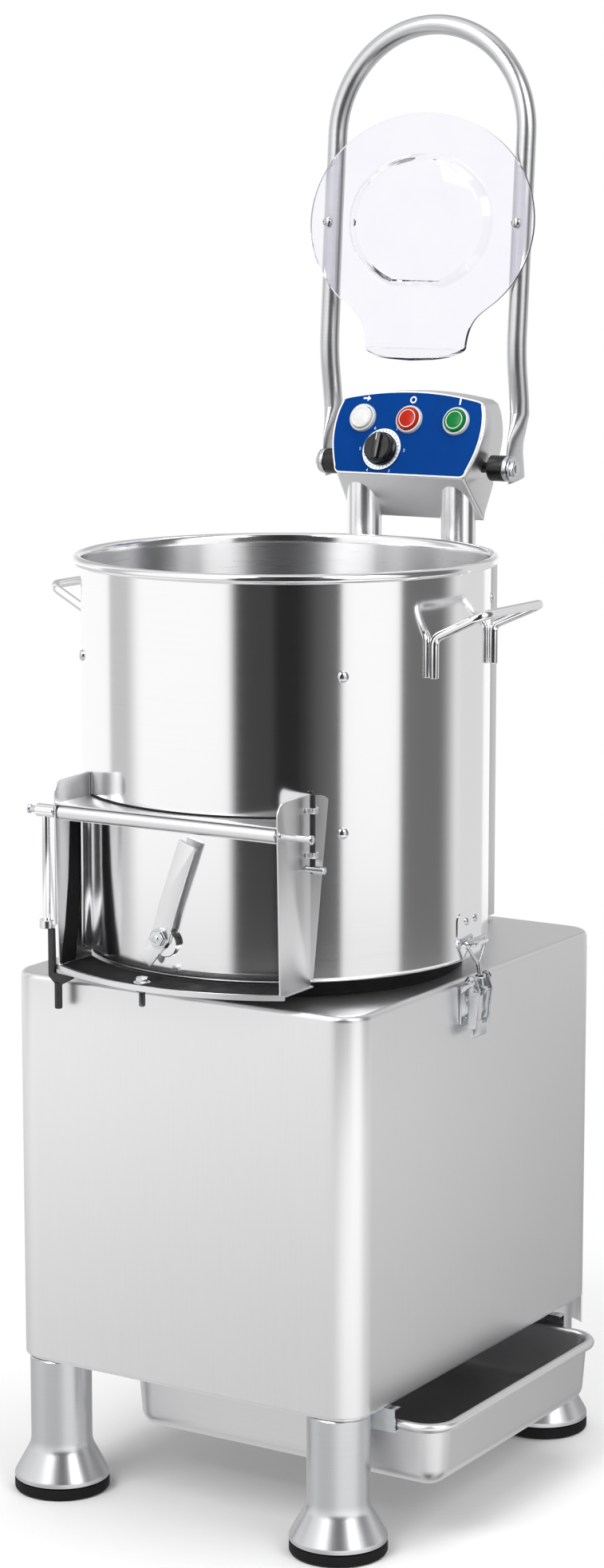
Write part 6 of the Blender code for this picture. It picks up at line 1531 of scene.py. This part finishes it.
# Clear lid: an oval sheet with a raised round dish, a hand tab and a folded lip
# The dish rises from its foot to its crest: steps out and up, on the front and on the back
lid = Sizes(
    half=0.125, halfHigh=0.105, centre=1.186, thick=0.004, start=-44, ovalSteps=90, tab=0.056,
    tabReach=0.118, tabSteps=24, tabPull=0.020, tabEase=(0.003, 0.030), edgeDrop=0.0008, edgePull=0.9968,
    foot=0.079, crest=0.0735, rise=0.007, flat=(0.030, 0.004),
    frontFoot=((0.010, 0), (0.003, 0), (0.0012, 0.0003), (0, 0.0012)),
    frontCrest=((0.0016, -0.0014), (0, -0.0003), (-0.002, 0), (-0.006, 0)),
    backCrest=((-0.006, 0), (-0.0036, -0.0006)), backFoot=((-0.0032, 0.0006), (-0.001, 0), (0.010, 0)),
    lip=0.018, lipAngle=40, lipRows=12, lipColumns=24, lipRound=2.4, lipLeast=0.0006, lipSkin=0.0002,
    lipTurn=0.9, screw=(0.0048, 0.0026), screwSeat=0.0001)


def lidOutline():
    start = math.radians(lid.start)
    upper = []
    for step in range(lid.ovalSteps + 1):
        angle = start + (math.pi - 2 * start) * step / lid.ovalSteps
        upper.append((lid.half * math.cos(angle), lid.halfHigh * math.sin(angle)))
    right = Vector(upper[0])
    slope = Vector((lid.half * math.sin(start), -lid.halfHigh * math.cos(start))).normalized()
    first = right + slope * lid.tabPull
    end = Vector((lid.tab, -lid.tabReach))
    second = end + Vector(lid.tabEase)
    curve = []
    for step in range(1, lid.tabSteps + 1):
        share = step / lid.tabSteps
        point = (right * (1 - share) ** 3 + first * 3 * share * (1 - share) ** 2
                 + second * 3 * share ** 2 * (1 - share) + end * share ** 3)
        curve.append((point.x, point.y))
    return upper + [(-x, y) for x, y in curve] + curve[::-1]


# The sheet's two sides meet at its edge, and each has a flat middle
def lidSheet(face, back):
    high = lid.halfHigh / lid.half
    outline = lidOutline()
    angles = [math.atan2(y / high, x) for x, y in outline]

    def inside(scale):
        return [(scale * math.cos(angle), scale * math.sin(angle) * high) for angle in angles]

    flat = [(radius, lid.rise) for radius in lid.flat]
    dish = around(lid.foot, 0, lid.frontFoot) + around(lid.crest, lid.rise, lid.frontCrest) + flat
    under = flat[::-1] + around(lid.crest, lid.rise, lid.backCrest) + around(lid.foot, 0, lid.backFoot)
    pulled = [(x * lid.edgePull, y * lid.edgePull) for x, y in outline]
    front = [(outline, -lid.edgeDrop), (pulled, 0.0)] + [(inside(radius), rise) for radius, rise in dish]
    behind = [(inside(radius), rise) for radius, rise in under] + [(pulled, 0.0)]
    shape = bmesh.new()
    loops = [[shape.verts.new((x, y, level + lift)) for x, y in ring]
             for level, rings in ((face, front), (back, behind)) for ring, lift in rings]
    for index, (low, after) in enumerate(zip(loops, loops[1:] + [loops[0]])):
        if index == len(front) - 1:
            shape.faces.new(low)
            shape.faces.new(after[::-1])
        else:
            bridge(shape, low, after)
    return shape


def lidLip(base):
    rows = []
    for step in range(lid.lipRows + 1):
        share = step / lid.lipRows
        turn = math.radians(-lid.lipAngle) * min(share * 3, 1)
        reach = lid.lip * share
        half = (lid.tab - lid.lipLeast) * math.sqrt(max(1 - share ** lid.lipRound, 0.0)) + lid.lipLeast
        offset = Vector((0, -reach * math.cos(turn * lid.lipTurn), -reach * math.sin(turn * lid.lipTurn)))
        normal = Vector((0, -math.sin(turn), math.cos(turn))) * (lid.thick / 2 - lid.lipSkin)
        along = [Vector((-half + 2 * half * column / lid.lipColumns, 0, 0))
                 for column in range(lid.lipColumns + 1)]
        row = [x + offset + normal for x in along] + [x + offset - normal for x in along[::-1]]
        rows.append([tuple(base @ point) for point in row])
    return skin(rows)


def makeLid():
    place = lidPlace(lid.centre)
    back = lidFrame.tube + gap
    face = back + lid.thick
    lip = lidLip(place @ Matrix.Translation((0, -lid.tabReach, back + lid.thick / 2)))
    makePiece("lidSheet", [placed(lidSheet(face, back), place), lip], clear, "lid", "lid")
    spots = [tuple(place @ Vector((side * lidFrame.half, 0.0, face - lid.screwSeat))) for side in (-1, 1)]
    aim = tuple(place.to_3x3() @ Vector((0, 0, 1)))
    repeated("lidScrews", crossHead(*lid.screw), spots, [aim] * len(spots), zinc, "lid")
    print("lid made")


makeLid()


# Cable gland; behind its shank the profile steps back from the cabinet's back panel
gland = Sizes(
    shank=((0.004, -0.2735), (0.0075, -0.2735), (0.0075, -0.271), (0.011, -0.271), (0.011, -0.276),
           (0.0075, -0.276)),
    cap=((0.0075, 0), (0.011, 0), (0.011, -0.0062), (0.0102, -0.007), (0.0095, -0.0078)),
    fold=((0.0092, -0.0085), (0.0080, -0.0096)), folds=4, foldStep=(0.0005, 0.0022),
    tip=((0.0060, -0.0176), (0.0050, -0.018), (0.004, -0.018)), ribs=6, ribReach=0.0108, ribBack=0.0032,
    rib=(-0.0006, 0.0006, -0.0016, 0.0016), ribTall=(-0.003, 0.003), ribRound=0.0002)


def makeGland():
    face = -(cabinet.back + gap + cabinet.sheet + gap)
    profile = [*gland.shank, *around(0, face, gland.cap)]
    for index in range(gland.folds):
        inwards, backwards = [step * index for step in gland.foldStep]
        profile += around(-inwards, face - backwards, gland.fold)
    profile += around(0, face, gland.tip)
    place = axesAt((backPanel.gland[0], 0, backPanel.gland[1]), (1, 0, 0))
    shapes = [placed(turned(profile, 48, closed=True), place)]
    for index, spot in enumerate(circle((0, 0), gland.ribReach, gland.ribs)):
        turn = Matrix.Rotation(math.radians(360 * index / gland.ribs), 4, "Z")
        rib = softened(slab([boxOutline(*gland.rib)], *gland.ribTall), gland.ribRound, 1)
        shapes.append(placed(rib, place @ Matrix.Translation((*spot, face - gland.ribBack)) @ turn))
    makePiece("cableGland", shapes, blackPlastic, stands="cable_gland")
    print("gland made")


makeGland()


# Studio: pale floor that fades into the backdrop, soft lamps, and a white surround with dark cards in it
studio = Sizes(
    diffuse=0.60, shown=1.0, high=0.50, highFrom=(-0.03, 0.32), behind=(0.0, 0.5), low=0.66,
    lowFrom=(-0.225, -0.190), cardTop=(0.88, 0.99), floorRadius=14.0, floorDrop=0.0004, fade=(0.40, 1.15),
    floor="#F4F4F4", ringRadius=1.0, ringReach=(-0.55, 0.30), ringFade=0.66, ringFadeLow=-0.15,
    ringSides=96)

# Start, end, softness at each end in degrees round the object from the front, and how dark the card is
studioCards = (
    (4.0, 63.0, 7.0, 2.0, 0.11), (3.0, 50.0, 8.0, 16.0, 0.048), (26.0, 43.0, 2.0, 12.0, 0.017),
    (99.0, 139.0, 3.0, 24.0, 0.15), (143.0, 200.0, 14.0, 20.0, 0.70), (-84.0, -62.0, 4.0, 14.0, 0.55))

# A low pale ring round the base, seen only in reflections: degrees from the front and brightness there
ringTones = ((-180, 0.60), (-90, 0.95), (-45, 1.14), (-18, 0.98), (8, 0.98), (45, 1.50), (80, 1.48),
             (106, 0.98), (128, 0.98), (150, 0.56), (180, 0.60))
lampPlan = {
    "keyLamp": Sizes(place=(-0.5, -2.7, 3.3), size=1.8, power=75, mirrored=True),
    "sideLamp": Sizes(place=(2.7, -0.9, 2.7), size=1.5, power=30, mirrored=True),
    "topLamp": Sizes(place=(0.2, 0.8, 3.6), size=2.0, power=45, mirrored=False),
}
lampAim = Vector((0, 0, 0.7))
cameraPlan = Sizes(
    place=(1.7317, -2.7746, 1.2118), tilt=80.5, turn=32.0, sensor=36.0, lensShare=2.2396, near=0.05, far=60)


# Camera and transmission rays see the plain backdrop
def seenDirectly(tree, rays):
    return mixed(tree, rays["Is Camera Ray"], rays["Is Transmission Ray"], "MAXIMUM")


def makeWorld():
    world = bpy.data.worlds.new("studio")
    bpy.context.scene.world = world
    world.use_nodes = True
    tree = world.node_tree
    tree.nodes.clear()
    direction = addNode(tree, "ShaderNodeTexCoord").outputs["Generated"]
    parts = addNode(tree, "ShaderNodeSeparateXYZ", inputs={"Vector": direction}).outputs
    turn = mixed(tree, parts["X"], mixed(tree, parts["Y"], -1.0, "MULTIPLY"), "ARCTAN2")
    azimuth = mixed(tree, turn, 180 / math.pi, "MULTIPLY")
    upper = eased(tree, parts["Z"], *studio.highFrom, 1.0, studio.high)
    behind = eased(tree, parts["Y"], *studio.behind)
    tone = addNode(tree, "ShaderNodeMix", inputs={0: behind, 2: 1.0, 3: upper}).outputs[0]
    tone = mixed(tree, tone, eased(tree, parts["Z"], *studio.lowFrom, studio.low, 1.0), "MULTIPLY")
    level = eased(tree, parts["Z"], *studio.cardTop, 1.0, 0.0)
    for start, end, softStart, softEnd, dark in studioCards:
        rise = eased(tree, azimuth, start - softStart / 2, start + softStart / 2)
        fall = eased(tree, azimuth, end - softEnd / 2, end + softEnd / 2, 1.0, 0.0)
        factor = mixed(tree, mixed(tree, rise, fall, "MULTIPLY"), level, "MULTIPLY")
        tone = addNode(tree, "ShaderNodeMix", inputs={0: factor, 2: tone, 3: dark}).outputs[0]
    rays = addNode(tree, "ShaderNodeLightPath").outputs
    shades = [addNode(tree, "ShaderNodeBackground", inputs={"Color": (1, 1, 1, 1), "Strength": strength})
              for strength in (studio.diffuse, tone, studio.shown)]
    diffuse, mirrored, white = [shade.outputs["Background"] for shade in shades]
    first = addNode(tree, "ShaderNodeMixShader", inputs={0: rays["Is Glossy Ray"], 1: diffuse, 2: mirrored})
    last = addNode(tree, "ShaderNodeMixShader", inputs={
        0: seenDirectly(tree, rays), 1: first.outputs["Shader"], 2: white})
    addNode(tree, "ShaderNodeOutputWorld", inputs={"Surface": last.outputs["Shader"]})


# A studio object's own material, empty but for its Object coordinates
def stageTree(item, name):
    material = bpy.data.materials.new(name)
    material.use_nodes = True
    item.data.materials.append(material)
    tree = material.node_tree
    tree.nodes.clear()
    return tree, addNode(tree, "ShaderNodeTexCoord").outputs["Object"]


def makeFloor():
    shape = bmesh.new()
    bmesh.ops.create_circle(shape, cap_ends=True, radius=studio.floorRadius, segments=96)
    floor = asObject("floor", moved(shape, 0, 0, -studio.floorDrop))
    tree, place = stageTree(floor, "paleFloor")
    reach = addNode(tree, "ShaderNodeVectorMath", {"operation": "LENGTH"}, {0: place}).outputs["Value"]
    rays = addNode(tree, "ShaderNodeLightPath").outputs
    seen = mixed(tree, seenDirectly(tree, rays), rays["Is Glossy Ray"], "MAXIMUM")
    factor = mixed(tree, seen, eased(tree, reach, *studio.fade), "MULTIPLY")
    matte = addNode(tree, "ShaderNodeBsdfDiffuse", inputs={"Color": toLinear(studio.floor)})
    glow = addNode(tree, "ShaderNodeEmission", inputs={"Color": (1, 1, 1, 1), "Strength": 1.0})
    surface = addNode(tree, "ShaderNodeMixShader", inputs={
        0: factor, 1: matte.outputs["BSDF"], 2: glow.outputs["Emission"]})
    addNode(tree, "ShaderNodeOutputMaterial", inputs={"Surface": surface.outputs["Shader"]})
    floor.visible_glossy = False


def makeRing():
    shape = bmesh.new()
    outline = circle((0, machineY), studio.ringRadius, studio.ringSides)
    bridge(shape, *[[shape.verts.new((x, y, height)) for x, y in outline] for height in studio.ringReach])
    ring = asObject("lowRing", shape)
    tree, place = stageTree(ring, "lowRing")
    parts = addNode(tree, "ShaderNodeSeparateXYZ", inputs={"Vector": place}).outputs
    turn = mixed(tree, parts["X"], mixed(tree, machineY, parts["Y"], "SUBTRACT"), "ARCTAN2")
    share = spread(tree, turn, 0.0, 1.0, -math.pi, math.pi)
    ramp = addNode(tree, "ShaderNodeValToRGB", inputs={"Fac": share})
    stops = ramp.color_ramp
    stops.interpolation = "EASE"
    strongest = max(tone for azimuth, tone in ringTones)
    for azimuth, tone in ringTones[1:-1]:
        stops.elements.new((azimuth + 180) / 360)
    for element, (azimuth, tone) in zip(stops.elements, ringTones):
        element.position = (azimuth + 180) / 360
        element.color = (*[tone / strongest] * 3, 1.0)
    fade = spread(tree, parts["Z"], studio.ringFade * strongest, strongest, studio.ringFadeLow,
                  studio.ringReach[1])
    glow = addNode(tree, "ShaderNodeEmission", inputs={"Color": ramp.outputs["Color"], "Strength": fade})
    addNode(tree, "ShaderNodeOutputMaterial", inputs={"Surface": glow.outputs["Emission"]})
    ring.visible_camera = False
    ring.visible_diffuse = False
    ring.visible_transmission = False
    ring.visible_shadow = False


def makeLamps():
    for name, plan in lampPlan.items():
        data = bpy.data.lights.new(name, "AREA")
        data.shape = "SQUARE"
        data.size = plan.size
        data.energy = plan.power
        lamp = newObject(name, data)
        lamp.location = plan.place
        lamp.rotation_euler = (lampAim - Vector(plan.place)).to_track_quat("-Z", "Y").to_euler()
        lamp.visible_glossy = plan.mirrored


def makeCamera():
    data = bpy.data.cameras.new("camera")
    data.sensor_width = cameraPlan.sensor
    data.lens = cameraPlan.lensShare * cameraPlan.sensor
    data.clip_start = cameraPlan.near
    data.clip_end = cameraPlan.far
    camera = newObject("camera", data)
    camera.location = cameraPlan.place
    camera.rotation_euler = (math.radians(cameraPlan.tilt), 0, math.radians(cameraPlan.turn))
    bpy.context.scene.camera = camera


makeWorld()
makeFloor()
makeRing()
makeLamps()
makeCamera()
bpy.context.scene.view_settings.view_transform = "Standard"
print("studio made")
